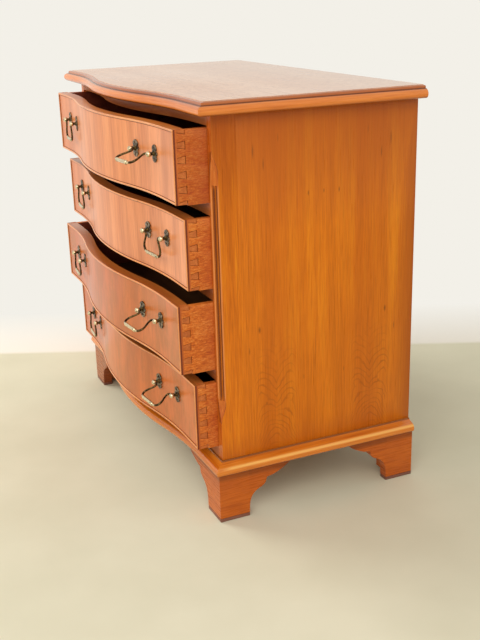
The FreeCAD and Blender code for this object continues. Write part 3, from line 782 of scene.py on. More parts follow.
# Foot wood: gives fine level grain in a deeper orange-red than the sides, darker in the corners, with painted shadow
# under the moulding and painted shade on the left feet
foot_wood = wood("foot_wood_polished", ("#A2460A", "#C05C12", "#D06C1C"), "XY", streak_width=2.2,
                 streak_share=0.6, pore_depth=0.6, shine=0.28, coat=0.2, polish=0.25, hollow_dark=0.95,
                 layers=((moulding_shadow_and_pad_line, "#5A2408"), (cloudy_stain, "#9C400C"), (left_feet_shade, "#5E2610")))
# Pad wood: gives a thin mauve-brown band under each foot
pad_wood = wood("foot_pad_wood", ("#5A3024", "#7C4A3A", "#9A6450"), "XY", streak_width=4.0, shine=0.5, coat=0.1)
inner_x = foot_x - bracket_thick
inner_y = foot_y + bracket_thick
front_block = block(Vector((inner_x - block_width, inner_y, pad_thick + block_lift)),
                    Vector((inner_x, inner_y + block_width, foot_height)))
front_foot = [bracket(along_side, True), bracket(along_front, True), front_block]
build_piece("front_foot_right", front_foot, foot_wood, "feet")
build_piece("front_foot_left", mirrored(front_foot), foot_wood, "feet")
rear_y = case_back - bracket_thick
brace = loft([[(inner_x, y, pad_thick), (foot_x - bracket_toe, y, pad_thick),
               (foot_x - brace_length, y, foot_height), (inner_x, y, foot_height)] for y in (rear_y, case_back)])
rear_block = block(Vector((inner_x - block_width, rear_y - block_width, pad_thick + block_lift)),
                   Vector((inner_x, rear_y, foot_height)))
rear_foot = [bracket(along_rear_side, False), brace, rear_block]
build_piece("rear_feet", rear_foot + mirrored(rear_foot), foot_wood, "feet")
eased_board("foot_pads", pad_wood, "foot_pads", ease=0.5)

# Drawers: a curved front with half-blind dovetails, sides and back of plain wood, and a thin bottom.
# The front is veneered upright and has a thin bead let in all round its edge, a little proud of the veneer.
# Its ends show the lap, then the end grain of the pins between the tails of the side.
drawer_front_thick = 20.0
lap_thick = 5.0
bead_width = 4.0
bead_proud = 2.0
quirk_width = 0.9
quirk_depth = 0.6
edge_line = 2.6
lap_line = 2.4
drawer_side_thick = 12.0
tail_count = 5
tail_wide_share = 0.64
tail_narrow_share = 0.44
glue_line = 0.8
pin_short = 1.2
pin_clear = 0.1
rebate_depth = 5.0
rebate_height = 11.3
front_half = box_of("drawer_1_front")[1].x
drawers = ["drawer_%d" % number for number in (1, 2, 3, 4)]


def bead_out(distance):
    """How far the front stands out at a distance from its edge: the round bead, a fine quirk, the veneer."""
    if distance < bead_width:
        return bead_proud * math.sqrt(max(0.0, 1 - ((distance - bead_width / 2) / (bead_width / 2)) ** 2)) ** 0.8
    if distance < bead_width + quirk_width:
        return -quirk_depth * math.sin(math.pi * (distance - bead_width) / quirk_width)
    return 0.0


# Distances from a front's edge where its face has points, close together over the bead and the quirk
edge_places = [0.0, 0.12, 0.4, 0.9, 1.5, 2.0, 2.5, 3.1, 3.6, 3.88, 4.0, 4.25, 4.6, 4.9]


def drawer_face(low, high, pull):
    """The lap with the bead round it, as one shell."""
    across = [-front_half + d for d in edge_places]
    across += run_places(front_half)[1:-1]
    across += [front_half - d for d in reversed(edge_places)]
    heights = [low + d for d in edge_places] + [high - d for d in reversed(edge_places)]
    rings = []
    for x in across:
        point, facing = front_at(x)
        aside = front_half - abs(x)
        ring = []
        for z in heights:
            out = bead_out(min(aside, z - low, high - z))
            spot = point + facing * out
            ring.append((spot.x, spot.y - pull, z))
        back = point - facing * lap_thick
        ring += [(back.x, back.y - pull, high), (back.x, back.y - pull, low)]
        rings.append(ring)
    return loft(rings)


def drawer_core(low, high, pull):
    """The thick wood behind the lap, between the two sides, rebated for the bottom."""
    reach = front_half - drawer_side_thick
    rings = []
    for x in run_places(reach):
        point, facing = front_at(x)
        step = drawer_front_thick - rebate_depth
        places = ((lap_thick, low), (lap_thick, high), (drawer_front_thick, high),
                  (drawer_front_thick, low + rebate_height), (step, low + rebate_height), (step, low))
        rings.append([(*(point - facing * back - Vector((0, pull))), z) for back, z in places])
    return loft(rings)


def new_tree(name, inputs):
    """Geometry node tree with inputs of the given kinds and one output, and what it is given."""
    tree = bpy.data.node_groups.new(name, "GeometryNodeTree")
    tree.interface.new_socket("Geometry", in_out="OUTPUT", socket_type="NodeSocketGeometry")
    for socket, kind in inputs.items():
        tree.interface.new_socket(socket, in_out="INPUT", socket_type="NodeSocket" + kind)
    return tree, add_node(tree, "NodeGroupInput").outputs


def end_tree(tree, geometry, material):
    """Ends a tree: its geometry made real, in its material."""
    real = add_node(tree, "GeometryNodeRealizeInstances", {"Geometry": geometry})
    dressed = add_node(tree, "GeometryNodeSetMaterial", {"Geometry": real.outputs["Geometry"], "Material": material})
    add_node(tree, "NodeGroupOutput", {"Geometry": dressed.outputs["Geometry"]})
    return tree


def pin_stack_tree():
    """Geometry nodes: pins at an even pitch up the corner of a drawer, splayed towards the inside."""
    tree, given = new_tree("dovetail_pins", {
        "Pitch": "Float", "Thin": "Float", "Thick": "Float", "Length": "Float", "Width": "Float",
        "Start": "Vector", "Count": "Int", "Wood": "Material"})
    step = add_node(tree, "ShaderNodeCombineXYZ", {"Z": given["Pitch"]})
    places = add_node(tree, "GeometryNodeMeshLine", {
        "Count": given["Count"], "Start Location": given["Start"], "Offset": step.outputs[0]})
    size = add_node(tree, "ShaderNodeCombineXYZ", {"X": given["Width"], "Y": given["Length"], "Z": 1.0})
    pin = add_node(tree, "GeometryNodeMeshCube", {"Size": size.outputs[0]})
    here = add_node(tree, "GeometryNodeInputPosition")
    split = add_node(tree, "ShaderNodeSeparateXYZ", {"Vector": here.outputs[0]})
    inner = add_node(tree, "FunctionNodeCompare", {0: split.outputs["Y"], 1: 0.0}, operation="GREATER_THAN")
    height = add_node(tree, "GeometryNodeSwitch", {
        "Switch": inner.outputs[0], "False": given["Thin"], "True": given["Thick"]}, input_type="FLOAT")
    tall = add_node(tree, "ShaderNodeMath", {0: split.outputs["Z"], 1: height.outputs[0]}, operation="MULTIPLY")
    moved = add_node(tree, "ShaderNodeCombineXYZ", {
        "X": split.outputs["X"], "Y": split.outputs["Y"], "Z": tall.outputs[0]})
    shaped = add_node(tree, "GeometryNodeSetPosition", {"Geometry": pin.outputs["Mesh"], "Position": moved.outputs[0]})
    stack = add_node(tree, "GeometryNodeInstanceOnPoints", {
        "Points": places.outputs["Mesh"], "Instance": shaped.outputs["Geometry"]})
    return end_tree(tree, stack.outputs["Instances"], given["Wood"])


def from_tree(name, tree, values, mesh=None):
    """Plain mesh object of a geometry node tree with the given inputs, on a mesh of points if there is one."""
    source = new_object(name + "_source", mesh or bpy.data.meshes.new(name + "_source"))
    modifier = source.modifiers.new(name, "NODES")
    modifier.node_group = tree
    for socket in tree.interface.items_tree:
        if socket.item_type == "SOCKET" and socket.in_out == "INPUT" and socket.name in values:
            modifier[socket.identifier] = values[socket.name]
    evaluated = source.evaluated_get(bpy.context.evaluated_depsgraph_get())
    mesh = bpy.data.meshes.new_from_object(evaluated)
    source.modifiers.clear()
    bpy.data.objects.remove(source)
    return new_object(name, mesh)


# Painted shade, redder, towards the left end of the fronts, and painted sheen towards the right end
left_end_shade = by_place("X", 150 - front_half, 30 - front_half, 0.45)
right_end_sheen = by_place("X", 80.0, 300.0, 0.45)
# More golden and dimmer on the two lower drawers, partly their wood's own colour and partly painted for the weaker
# sheen they catch, with olive-golden clouds 36 mm wide, drawn out upright
lower_drawers = (452.0, 436.0)
lower_golden_and_dim = by_place("Z", *lower_drawers, 0.78)
golden_figure = figure((1.0, 1.0, 0.4), 36, 0.46, 0.60, 0.55, detail=4.0, roughness=0.65,
                       within=by_place("Z", *lower_drawers, 1.0))
# Broad darker bands, 50 mm wide: painted reflection in the polish
reflection_bands = figure((1.0, 0.0, 0.08), 50, 0.46, 0.62, 0.50)
# Painted shade on the top edges of the lower fronts, under the drawer above
lower_edges_shade = by_place("Z", 690.0, 640.0, 0.65)
# Short level dark and red flecks of quarter-cut wood, 1.8 mm high
mottle = figure((1.0, 0.45, 1.0), 1.8, 0.48, 0.66, 0.65, roughness=0.7)
# Redder sides towards the case, where less daylight has faded them, and on the highest drawer
redder_back = by_place("Y", case_front - 30, case_front + 10, 0.45)
redder_highest = by_place("Z", 584.0, 590.0, 0.30)

# Front veneer: gives a peach sheen over fine upright grain, painted shade at the left end, painted sheen at the right
# end, broad bands of painted reflection, and golden, dimmer wood lower down
front_veneer = wood("front_veneer_upright", ("#D47E46", "#E48E54", "#EE9C62"), "Z", streak_width=2.8,
                    pore_depth=0.5, shine=0.32, coat=0.22, polish=0.3, hollow_dark=0.9,
                    layers=((left_end_shade, "#B85A30"), (right_end_sheen, "#F2A070"), (lower_golden_and_dim, "#C45A00"),
                            (golden_figure, "#9E5A14"), (reflection_bands, "#A8521E"), (fine_lines, "#8E4018")))
# Bead wood: gives the light orange line round each front
bead_wood = wood("bead_wood_polished", ("#CC7836", "#E08C46", "#EEA25E"), "XZ", streak_width=4.0, shine=0.30,
                 coat=0.4, hollow_dark=0.9)
# Quirk stain: gives the fine dark lines beside the bead and behind it on the ends of the front, and painted shade on
# the left end of each front
quirk_and_left_end_dark = wood("quirk_dark_stained", ("#541C0C", "#6C2A12", "#80381C"), "XZ", streak_width=2.0, shine=0.45,
                   coat=0.1, polish=0.3)
# Lap end wood: gives the plain orange-brown stripe between the bead and the dovetails
lap_end_wood = wood("lap_end_wood", ("#943E0E", "#B6551A", "#CA6C2C"), "Z", streak_width=2.0, shine=0.45,
                    coat=0.1, polish=0.3)
# Front edge: gives the warm thick edge that is seen from above when a drawer is out, with painted shade on the top
# edges of the lower drawers
front_edge_wood = wood("front_edge_wood", ("#BA6020", "#D0752A", "#E08A3C"), "X", streak_width=3.0, shine=0.32,
                       coat=0.3, layers=((lower_edges_shade, "#7C3818"),))
# Painted shade: the deep brown dark of the drawers' insides, on the inner faces of their boards and fronts
inside_shade_wood = wood("drawer_inside_stained", ("#642414", "#803620", "#98482E"), "X", streak_width=3.0, shine=0.6,
                   coat=0.0, polish=0.2)
# Drawer side wood: gives a granular reddish orange with short level flecks
drawer_wood = wood("drawer_side_wood", ("#AE4A12", "#D26C1E", "#E68E40"), "Y", streak_width=2.2,
                   streak_share=0.7, drawn_out=5, shine=0.42, coat=0.1, polish=0.25,
                   layers=((mottle, "#9A3A0C"), (redder_back, "#A23A18"), (redder_highest, "#8E2E10")))
# Drawer back wood: gives a plainer brown than the sides
drawer_back_wood = wood("drawer_back_wood", ("#8E4220", "#A85C30", "#BC7442"), "X", streak_width=2.6, shine=0.5,
                        coat=0.15)
# Bottom wood: gives a plain brown sheet inside the drawer
bottom_wood = wood("drawer_bottom_wood", ("#4A2C18", "#5E3A22", "#724A2E"), "X", streak_width=8.0, shine=0.6,
                   coat=0.0, polish=0.2)
# Pin end grain: gives dots rather than streaks, a little darker than the side round it
end_grain = wood("dovetail_end_grain", ("#9A4416", "#BC6028", "#CE7A3C"), "X", streak_width=1.6, shine=0.5,
                 coat=0.1, polish=0.25)


def shaded_inside(board, inward):
    """Painted shade on the face of a drawer board that looks into the drawer."""
    board.data.materials.append(inside_shade_wood)
    for face in board.data.polygons:
        if face.normal.dot(inward) > 0.9:
            face.material_index = 1


def pull_of(drawer):
    """How far a drawer is pulled out of the case at rest."""
    return case_front + drawer_front_thick - box_of(drawer + "_front")[1].y


pins = pin_stack_tree()
front_woods = [front_veneer, bead_wood, lap_end_wood, front_edge_wood, inside_shade_wood, quirk_and_left_end_dark]
for drawer in drawers:
    low, high = box_of(drawer + "_front")
    board_high = box_of(drawer + "_side_right")[1]
    pull = pull_of(drawer)
    front = build_piece(drawer + "_front", [drawer_face(low.z, high.z, pull), drawer_core(low.z, high.z, pull)],
                        front_veneer, "front_veneer", angle=38)
    for extra in front_woods[1:]:
        front.data.materials.append(extra)
    # The dark line behind the bead on each end needs an edge of its own
    line_end = front_at(front_half)[0].y - pull + lap_line
    with edited(front.data) as work:
        for way in (-1, 1):
            ends = [face for face in work.faces if face.normal.x * way > 0.99
                    and abs(face.calc_center_median().x) > (front_half - 0.1) * mm]
            parts = ends + [part for face in ends for part in (*face.edges, *face.verts)]
            bmesh.ops.bisect_plane(work, geom=list(dict.fromkeys(parts)), plane_co=(0, line_end * mm, 0),
                                   plane_no=(0, 1, 0))
    for face in front.data.polygons:
        place = face.center / mm
        aside = front_half - abs(place.x)
        inward = min(aside, place.z - low.z, high.z - place.z)
        outward = front_at(place.x)[1].dot(face.normal.xy) > 0.35
        if aside < 0.05:
            shown = lap_end_wood if place.y > line_end else quirk_and_left_end_dark
        # Painted shade: the left end of each front, within edge_line of it, takes the dark quirk colour
        elif place.x < edge_line - front_half or (outward and bead_width < inward < bead_width + quirk_width):
            shown = quirk_and_left_end_dark
        elif outward and inward < bead_width:
            shown = bead_wood
        elif abs(face.normal.z) > 0.9:
            shown = front_edge_wood
        else:
            shown = front_veneer if outward else inside_shade_wood
        face.material_index = front_woods.index(shown)
    pitch = (board_high.z - low.z) / tail_count
    for side, way in (("right", 1), ("left", -1)):
        start = Vector((way * (front_half - drawer_side_thick / 2),
                        case_front + (lap_thick + drawer_front_thick - pin_short) / 2 - pull, low.z)) * mm
        stack = from_tree("%s_pins_%s" % (drawer, side), pins, {
            "Pitch": pitch * mm, "Thin": ((1 - tail_wide_share) * pitch - 2 * glue_line) * mm,
            "Thick": ((1 - tail_narrow_share) * pitch - 2 * glue_line) * mm,
            "Length": (drawer_front_thick - lap_thick - pin_short) * mm,
            "Width": (drawer_side_thick - pin_clear) * mm, "Start": start, "Count": tail_count + 1,
            "Wood": end_grain})
        with edited(stack.data) as work:
            for level, up in ((low.z, -1), (high.z, 1)):
                bmesh.ops.bisect_plane(work, geom=work.verts[:] + work.edges[:] + work.faces[:],
                                       plane_co=(0, 0, level * mm), plane_no=(0, 0, up), clear_outer=True)
            bmesh.ops.holes_fill(work, edges=work.edges, sides=4)
            bmesh.ops.recalc_face_normals(work, faces=work.faces)
        finish_piece(stack, None, "front_veneer", drawer, [])
        shaded_inside(eased_board("%s_side_%s" % (drawer, side), drawer_wood, "drawer_wood", ease=0.4),
                       Vector((-way, 0, 0)))
    shaded_inside(eased_board(drawer + "_back", drawer_back_wood, "drawer_wood"), Vector((0, -1, 0)))
    bottom = frame["nodes"][drawer + "_bottom"].data
    bottom.materials.clear()
    bottom.materials.append(bottom_wood)

# Pulls: each has two cast rosettes with a pierced leaf above and below, and two turned posts with a ball.
# The posts go through the front and are held by square nuts inside the drawer.
# The brass was darkened, and the balls and other raised places rubbed bright again.
pull_spacing = 78.0
pull_place = 235.0
rosette_height, rosette_width = 31.0, 24.0
rosette_thick = 2.0
rosette_edge = 0.35
dome_rise = 0.5
dome_reach = 13.0
leaf_hole = (3.3, 2.7)
eye_hole = (1.2, 1.1)
seat_clearance = 0.15
ball_standoff = 12.0
ball_radius = 5.2
collar_radius = 5.0
neck_radius = 2.8
rubbed_from = 8.6
rubbed_fade = 3.0
nut_width = 9.0
nut_thick = 3.0


def antique_brass(name, bright, dull, rubbed_most=0.0, rubbed_shade="#E8D8B4"):
    """Cast brass, patinated dark in its hollows, lighter on its arrises, bright where the mesh says rubbed."""
    material, tree, surface, millimetres = new_surface(name)
    cloud = add_node(tree, "ShaderNodeTexNoise", {"Vector": millimetres, "Scale": 1 / 4.5, "Detail": 4.0})
    grit = add_node(tree, "ShaderNodeTexNoise", {"Vector": millimetres, "Scale": 1 / 0.8, "Detail": 2.0})
    edge = add_node(tree, "ShaderNodeNewGeometry").outputs["Pointiness"]
    rubbed = add_node(tree, "ShaderNodeAttribute", attribute_name="rubbed").outputs["Fac"]
    shown = faded(tree, cloud.outputs["Fac"], 0.25, 0.45, rubbed_most, within=rubbed)
    colour = layered(tree, cloud.outputs["Fac"], ((0.40, dull), (0.66, bright)),
                     ((faded(tree, edge, 0.53, 0.62, 0.7), bright), (shown, rubbed_shade)))
    tree.links.new(colour, surface.inputs["Base Color"])
    rough = add_node(tree, "ShaderNodeMapRange", {"Value": shown, "To Min": 0.42, "To Max": 0.24})
    tree.links.new(rough.outputs[0], surface.inputs["Roughness"])
    relief = add_node(tree, "ShaderNodeBump", {
        "Height": grit.outputs["Fac"], "Strength": 0.25, "Distance": 0.1 * mm})
    tree.links.new(relief.outputs[0], surface.inputs["Normal"])
    surface.inputs["Metallic"].default_value = 1.0
    return material


# Turned post: how far out from the front, and the radius there
post_profile = [(2.15, 0.01), (2.15, collar_radius - 0.3), (2.45, collar_radius), (3.1, collar_radius), (3.5, 4.2),
                (3.9, 4.4), (4.3, 4.2), (4.65, 3.3), (5.3, neck_radius), (7.2, neck_radius - 0.05)]
post_profile += [(ball_standoff - ball_radius * math.cos(math.radians(a)), ball_radius * math.sin(math.radians(a)))
                 for a in range(34, 163, 8)]
post_profile += [(16.9, 1.3), (16.5, 1.0), (16.4, 0.01)]

# Right half of a rosette's outline from its top: out over the half width, up over the half height
rosette_edge_shares = (
    (0.0, 1.0), (0.20, 0.96), (0.42, 0.90), (0.62, 0.78), (0.74, 0.62), (0.72, 0.46), (0.60, 0.34), (0.64, 0.22),
    (0.84, 0.14), (1.0, 0.01), (0.86, -0.12), (0.64, -0.22), (0.60, -0.34), (0.74, -0.50), (0.70, -0.66),
    (0.48, -0.84), (0.20, -0.96), (0.0, -1.0),
)


def turned_shell(profile, sides=24):
    """Turned shell about -Y from distances out and radii, in millimetres."""
    return loft([[(radius * math.cos(2 * math.pi * n / sides), -out, radius * math.sin(2 * math.pi * n / sides))
                  for n in range(sides)] for out, radius in profile])


def brass_mesh(name, shell, rubbed):
    """Mesh of a closed shell in its own frame, with how far each point is rubbed bright."""
    mesh = mesh_of(name, [shell], run=False)
    keep_in_points(mesh, "rubbed", [rubbed(v.co / mm) for v in mesh.vertices])
    return mesh


def rosette_mesh():
    """Pierced plate from a filled outline with rounded edges, domed a little, its back on the front."""
    curve = bpy.data.curves.new("rosette_outline", "CURVE")
    curve.dimensions = "2D"
    curve.fill_mode = "BOTH"
    half_width, half_height = rosette_width / 2 - rosette_edge, rosette_height / 2 - rosette_edge
    right = [(s * half_width, t * half_height) for s, t in smooth_line(rosette_edge_shares, 3)]
    outlines = [right + [(-x, z) for x, z in reversed(right[1:-1])]]
    circle = [2 * math.pi * n / 16 for n in range(16)]
    for flip in (1, -1):
        outlines.append([(leaf_hole[0] * math.cos(a) * (0.8 + 0.2 * math.sin(a) * flip),
                          flip * 0.65 * half_height + leaf_hole[1] * math.sin(a)) for a in circle])
        outlines.append([(flip * 0.72 * half_width + eye_hole[0] * math.cos(a), eye_hole[1] * math.sin(a))
                         for a in circle])
    for points in outlines:
        spline = curve.splines.new("POLY")
        spline.points.add(len(points) - 1)
        for place, (x, z) in zip(spline.points, points):
            place.co = (x * mm, z * mm, 0, 1)
        spline.use_cyclic_u = True
    curve.extrude = (rosette_thick / 2 - rosette_edge) * mm
    curve.bevel_depth = rosette_edge * mm
    curve.bevel_resolution = 2
    flat = new_object("rosette_outline", curve)
    mesh = bpy.data.meshes.new_from_object(flat.evaluated_get(bpy.context.evaluated_depsgraph_get()))
    bpy.data.objects.remove(flat)
    with edited(mesh) as work:
        bmesh.ops.remove_doubles(work, verts=work.verts, dist=0.01 * mm)
        for vert in work.verts:
            x, z, out = vert.co
            share = max(0.0, 1 - (Vector((x, z)).length / (dome_reach * mm)) ** 2) if out > 0 else 0.0
            vert.co = (x, -out - (seat_clearance + rosette_thick / 2 + dome_rise * share) * mm, z)
        bmesh.ops.recalc_face_normals(work, faces=work.faces)
    return mesh


def fittings_tree(name, mesh):
    """Geometry nodes: the same fitting on each of a drawer's seats, turned to face out of the front."""
    fitting = bpy.data.objects.new(name + "_pattern", mesh)
    tree, given = new_tree(name, {"Geometry": "Geometry", "Fitting": "Object", "Metal": "Material"})
    pattern = add_node(tree, "GeometryNodeObjectInfo", {"Object": given["Fitting"]})
    turn = add_node(tree, "GeometryNodeInputNamedAttribute", {"Name": "turn"}, data_type="FLOAT")
    angles = add_node(tree, "ShaderNodeCombineXYZ", {"Z": turn.outputs[0]})
    placed = add_node(tree, "GeometryNodeInstanceOnPoints", {
        "Points": given["Geometry"], "Instance": pattern.outputs["Geometry"], "Rotation": angles.outputs[0]})
    return end_tree(tree, placed.outputs["Instances"], given["Metal"]), fitting


def seats_mesh(pull, height):
    """Points on the front where the posts of one drawer stand, with the way that each faces."""
    half = pull_spacing / 2
    seats = [front_at(x) for x in (-pull_place - half, -pull_place + half, pull_place - half, pull_place + half)]
    mesh = bpy.data.meshes.new("seats")
    mesh.from_pydata([Vector((p.x, p.y - pull, height)) * mm for p, _ in seats], [], [])
    keep_in_points(mesh, "turn", [math.atan2(f.x, -f.y) for _, f in seats])
    return mesh


# Rosette brass: gives nearly black bronze with light worn edges round the piercings
rosette_brass = antique_brass("rosette_brass_darkened", "#A89A84", "#48403A")
# Post brass: gives a dark neck and a bright golden ball
post_brass = antique_brass("post_brass_rubbed", "#8A7448", "#3C3020", rubbed_most=0.95)
# Nut brass: gives a plain dull yellow inside the drawer
nut_brass = antique_brass("nut_brass_plain", "#B89A58", "#7A6434")
nut_shell = block(Vector((-nut_width / 2, drawer_front_thick + seat_clearance, -nut_width / 2)),
                  Vector((nut_width / 2, drawer_front_thick + seat_clearance + nut_thick, nut_width / 2)), 0.5)
post_mesh = brass_mesh("post", turned_shell(post_profile),
                       lambda p: min(1.0, max(0.0, (-p.y - rubbed_from) / rubbed_fade)))
fittings = (
    ("rosettes", fittings_tree("rosettes_on_seats", rosette_mesh()), rosette_brass, "brass_plates"),
    ("posts", fittings_tree("posts_on_seats", post_mesh), post_brass, "brass_posts"),
    ("nuts", fittings_tree("nuts_on_seats", brass_mesh("nut", nut_shell, lambda p: 0.0)), nut_brass, "brass_nuts"),
)
for drawer in drawers:
    nut_low, nut_high = box_of(drawer + "_nuts")
    for kind, (tree, fitting), metal, slot in fittings:
        thing = from_tree("%s_%s_finish" % (drawer, kind), tree, {"Fitting": fitting, "Metal": metal},
                          seats_mesh(pull_of(drawer), (nut_low.z + nut_high.z) / 2))
        finish_piece(thing, None, slot, drawer, ["%s_%s" % (drawer, kind)], angle=35)

# Bails: swan-neck handles cast in one piece, swinging on pivots in the balls of the posts.
# Slender dark arms run down from the pivots into a thicker grip, rubbed bright, with a collar at both ends.
bail_drop = 36.0
bail_wire = 2.0
pivot_radius = 1.5
pivot_inset = 1.9
arm_inset = 4.6
rest_angles = {"left": (0.0, 0.0, 0.0, 0.0), "right": (69.0, 2.0, 64.0, 62.0)}
# Half a bail from the pivot to the collar: along the axis over the half span, down over the drop,
# and thickness over the wire's radius
bail_path_shares = (
    (0.80, 0.00, 0.90), (0.735, 0.01, 1.0), (0.685, 0.05, 1.0), (0.66, 0.13, 0.98), (0.69, 0.25, 0.94),
    (0.76, 0.40, 0.94), (0.835, 0.54, 0.97), (0.872, 0.67, 1.0), (0.862, 0.80, 1.04), (0.79, 0.91, 1.08),
    (0.69, 0.975, 1.10), (0.58, 1.0, 1.10), (0.53, 1.0, 1.15),
)
grip_shares = ((0.505, 1.0, 1.90), (0.485, 1.0, 1.98), (0.465, 1.0, 1.90), (0.445, 1.0, 1.60), (0.41, 1.0, 1.62),
               (0.30, 1.0, 1.68), (0.15, 1.0, 1.71), (0.0, 1.0, 1.72))


def rod_tree():
    """Geometry nodes: round rod along a run of points, as thick at each as the point says."""
    tree, given = new_tree("rod_along_points", {"Geometry": "Geometry", "Sides": "Int", "Metal": "Material"})
    path = add_node(tree, "GeometryNodeMeshToCurve", {"Mesh": given["Geometry"]})
    thickness = add_node(tree, "GeometryNodeInputNamedAttribute", {"Name": "thickness"}, data_type="FLOAT")
    section = add_node(tree, "GeometryNodeCurvePrimitiveCircle", {"Resolution": given["Sides"], "Radius": 1.0})
    rod = add_node(tree, "GeometryNodeCurveToMesh", {
        "Curve": path.outputs[0], "Profile Curve": section.outputs["Curve"], "Scale": thickness.outputs[0],
        "Fill Caps": True})
    return end_tree(tree, rod.outputs[0], given["Metal"])


def bail_points(half_span, swing):
    """Run of points along a bail, moved to where the bail rests."""
    shares = [((half_span - ball_radius + pivot_inset) / half_span, 0.0, pivot_radius / bail_wire),
              ((half_span - arm_inset) / half_span, 0.0, 0.80)] + list(bail_path_shares)
    right = [(Vector((s * half_span, 0, -d * bail_drop)), w * bail_wire)
             for s, d, w in smooth_line(shares, 3) + list(grip_shares)]
    rod = right + [(Vector((-p.x, 0, p.z)), w) for p, w in reversed(right[:-1])]
    mesh = bpy.data.meshes.new("bail_points")
    mesh.from_pydata([swing @ (p * mm) for p, _ in rod], [(n, n + 1) for n in range(len(rod) - 1)], [])
    keep_in_points(mesh, "thickness", [w * mm for _, w in rod])
    keep_in_points(mesh, "rubbed", [1.0 if abs(p.x) < 0.7 * half_span and p.z < -0.9 * bail_drop else 0.0
                                    for p, _ in rod])
    return mesh


# Bail brass: gives dark slender arms and a light golden grip
bail_brass = antique_brass("bail_brass_rubbed", "#7A6440", "#2E2418", rubbed_most=0.95)
bail_rod = rod_tree()
for joint in frame["joints"]:
    if joint["type"] == "hinge":
        node = joint["child"]
        number, side = node.split("_")[1:]
        way = 1 if side == "right" else -1
        seats = [front_at(way * pull_place + shift) for shift in (-pull_spacing / 2, pull_spacing / 2)]
        balls = [point + facing * ball_standoff for point, facing in seats]
        axis = Vector(joint["axis"])
        raised = Matrix.Rotation(math.radians(rest_angles[side][int(number) - 1]), 4, axis)
        turned = Matrix.Rotation(math.atan2(-axis.y, -axis.x), 4, "Z")
        swing = Matrix.Translation(Vector(joint["pos_m"])) @ raised @ turned
        thing = from_tree(node + "_finish", bail_rod, {"Sides": 14, "Metal": bail_brass},
                          bail_points((balls[1] - balls[0]).length / 2, swing))
        finish_piece(thing, None, "brass_bails", node, [node], angle=50)

# Studio: a plain pale floor that runs up into a plain pale wall, soft daylight from the left and above,
# and the camera where the photograph was taken.
camera_place = Vector((1847.5, -742.2, 930.6)) * mm
camera_azimuth, camera_elevation, camera_roll = 66.20, 18.97, -1.70
focal_pixels = 970.43
frame_pixels = 640
sensor_width = 36.0
floor_end = 0.475
sweep_turn = -1.0
sweep_half_width = 5.0
cove_start, cove_radius, wall_height = 3.4, 0.6, 4.0
wall_white = "#F3F0E8"


def seen_plainly(tree):
    """1 for rays from the eye, from a polished face or through glass, 0 for light and shadow."""
    rays = add_node(tree, "ShaderNodeLightPath").outputs
    either = add_node(tree, "ShaderNodeMath", {0: rays["Is Camera Ray"], 1: rays["Is Glossy Ray"]}, operation="ADD")
    return add_node(tree, "ShaderNodeMath", {0: either.outputs[0], 1: rays["Is Transmission Ray"]},
                    operation="ADD").outputs[0]


def studio_paint():
    """Matt floor paint with faint cloudy wear, and plain off-white paint from a line behind the chest on.

    Farther off, the eye and the polish see the off-white as it is, while light and shadow stay as they are.
    """
    material, tree, surface, millimetres = new_surface("studio_paint")
    cloud = add_node(tree, "ShaderNodeTexNoise", {"Vector": millimetres, "Scale": 1 / 260, "Detail": 5.0})
    depth = add_node(tree, "ShaderNodeSeparateXYZ", {"Vector": add_node(
        tree, "ShaderNodeAttribute", attribute_name="sweep_place").outputs["Vector"]}).outputs["Y"]
    white = faded(tree, depth, floor_end, floor_end + 0.02, 1.0)
    colour = layered(tree, cloud.outputs["Fac"], ((0.35, "#DAD8C1"), (0.65, "#E2E0CA")), ((white, wall_white),))
    tree.links.new(colour, surface.inputs["Base Color"])
    far = faded(tree, depth, floor_end + 0.02, floor_end + 0.35, 1.0, within=seen_plainly(tree))
    flat = add_node(tree, "ShaderNodeEmission", {"Color": linear(wall_white), "Strength": 1.0})
    mixed = add_node(tree, "ShaderNodeMixShader", {0: far, 1: surface.outputs[0], 2: flat.outputs[0]})
    tree.links.new(mixed.outputs[0], tree.nodes["Material Output"].inputs["Surface"])
    surface.inputs["Roughness"].default_value = 0.75
    surface.inputs["Specular IOR Level"].default_value = 0.2
    return material


def sweep_mesh():
    """Floor and wall in one sweep, nearly square to the camera, with each point's place before turning."""
    section = [(depth, 0.0) for depth in (-4.0, 0.4, 0.5, 0.6, 1.0, cove_start)]
    section += [(cove_start + cove_radius * math.sin(a), cove_radius - cove_radius * math.cos(a))
                for a in (math.pi * n / 16 for n in range(1, 9))]
    section.append((cove_start + cove_radius, wall_height))
    places = [(across, depth, height) for depth, height in section for across in (-sweep_half_width, sweep_half_width)]
    mesh = bpy.data.meshes.new("studio_sweep")
    mesh.from_pydata(places, [], [(2 * n, 2 * n + 1, 2 * n + 3, 2 * n + 2) for n in range(len(section) - 1)])
    keep_in_points(mesh, "sweep_place", [number for place in places for number in place], "FLOAT_VECTOR", "vector")
    mesh.transform(Matrix.Rotation(math.radians(camera_azimuth + sweep_turn), 4, "Z"))
    mesh.shade_smooth()
    return mesh


sweep = new_object("studio_sweep", sweep_mesh())
sweep.data.materials.append(studio_paint())


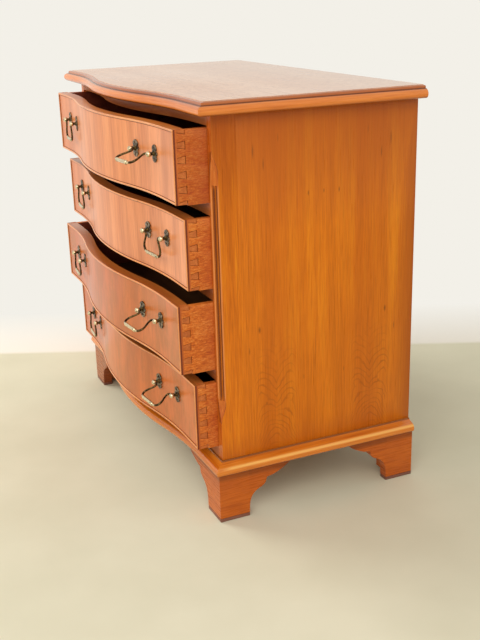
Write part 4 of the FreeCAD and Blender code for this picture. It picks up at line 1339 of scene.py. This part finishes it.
def area_light(name, place, target, size, power, shade):
    """Soft rectangular light that looks at a point."""
    data = bpy.data.lights.new(name, "AREA")
    data.shape = "RECTANGLE"
    data.size, data.size_y = size
    data.energy = power
    data.color = linear(shade)[:3]
    lamp = new_object(name, data)
    lamp.location = place
    lamp.rotation_euler = (Vector(target) - Vector(place)).to_track_quat("-Z", "Y").to_euler()
    return lamp


window = area_light("window_light", (-2.5, -1.9, 1.6), (0.0, 0.0, 0.4), (2.0, 1.5), 80.0, "#FFFAF2")
window.visible_glossy = False
area_light("room_light", (2.6, -1.4, 2.2), (0.0, 0.0, 0.3), (2.6, 2.0), 48.0, "#FFF6EA")
world = bpy.data.worlds.new("studio_air")
world.use_nodes = True
air = world.node_tree
air.nodes["Background"].inputs["Color"].default_value = linear("#F6F3EC")
air.nodes["Background"].inputs["Strength"].default_value = 0.62
plain = add_node(air, "ShaderNodeBackground", {"Color": linear(wall_white), "Strength": 1.0})
mixed = add_node(air, "ShaderNodeMixShader", {
    0: seen_plainly(air), 1: air.nodes["Background"].outputs[0], 2: plain.outputs[0]})
air.links.new(mixed.outputs[0], air.nodes["World Output"].inputs["Surface"])
bpy.context.scene.world = world

azimuth, elevation, roll = (math.radians(a) for a in (camera_azimuth, camera_elevation, camera_roll))
forward = Vector((-math.sin(azimuth) * math.cos(elevation), math.cos(azimuth) * math.cos(elevation),
                  -math.sin(elevation)))
level_right = forward.cross(Vector((0, 0, 1))).normalized()
level_up = level_right.cross(forward)
right = level_right * math.cos(roll) + level_up * math.sin(roll)
up = level_up * math.cos(roll) - level_right * math.sin(roll)
camera_data = bpy.data.cameras.new("camera")
camera_data.sensor_width = sensor_width
camera_data.lens = focal_pixels * sensor_width / frame_pixels
camera = new_object("camera", camera_data)
camera.matrix_world = Matrix((
    (right.x, up.x, -forward.x, camera_place.x),
    (right.y, up.y, -forward.y, camera_place.y),
    (right.z, up.z, -forward.z, camera_place.z),
    (0, 0, 0, 1)))
bpy.context.scene.camera = camera
bpy.context.scene.view_settings.view_transform = "Standard"
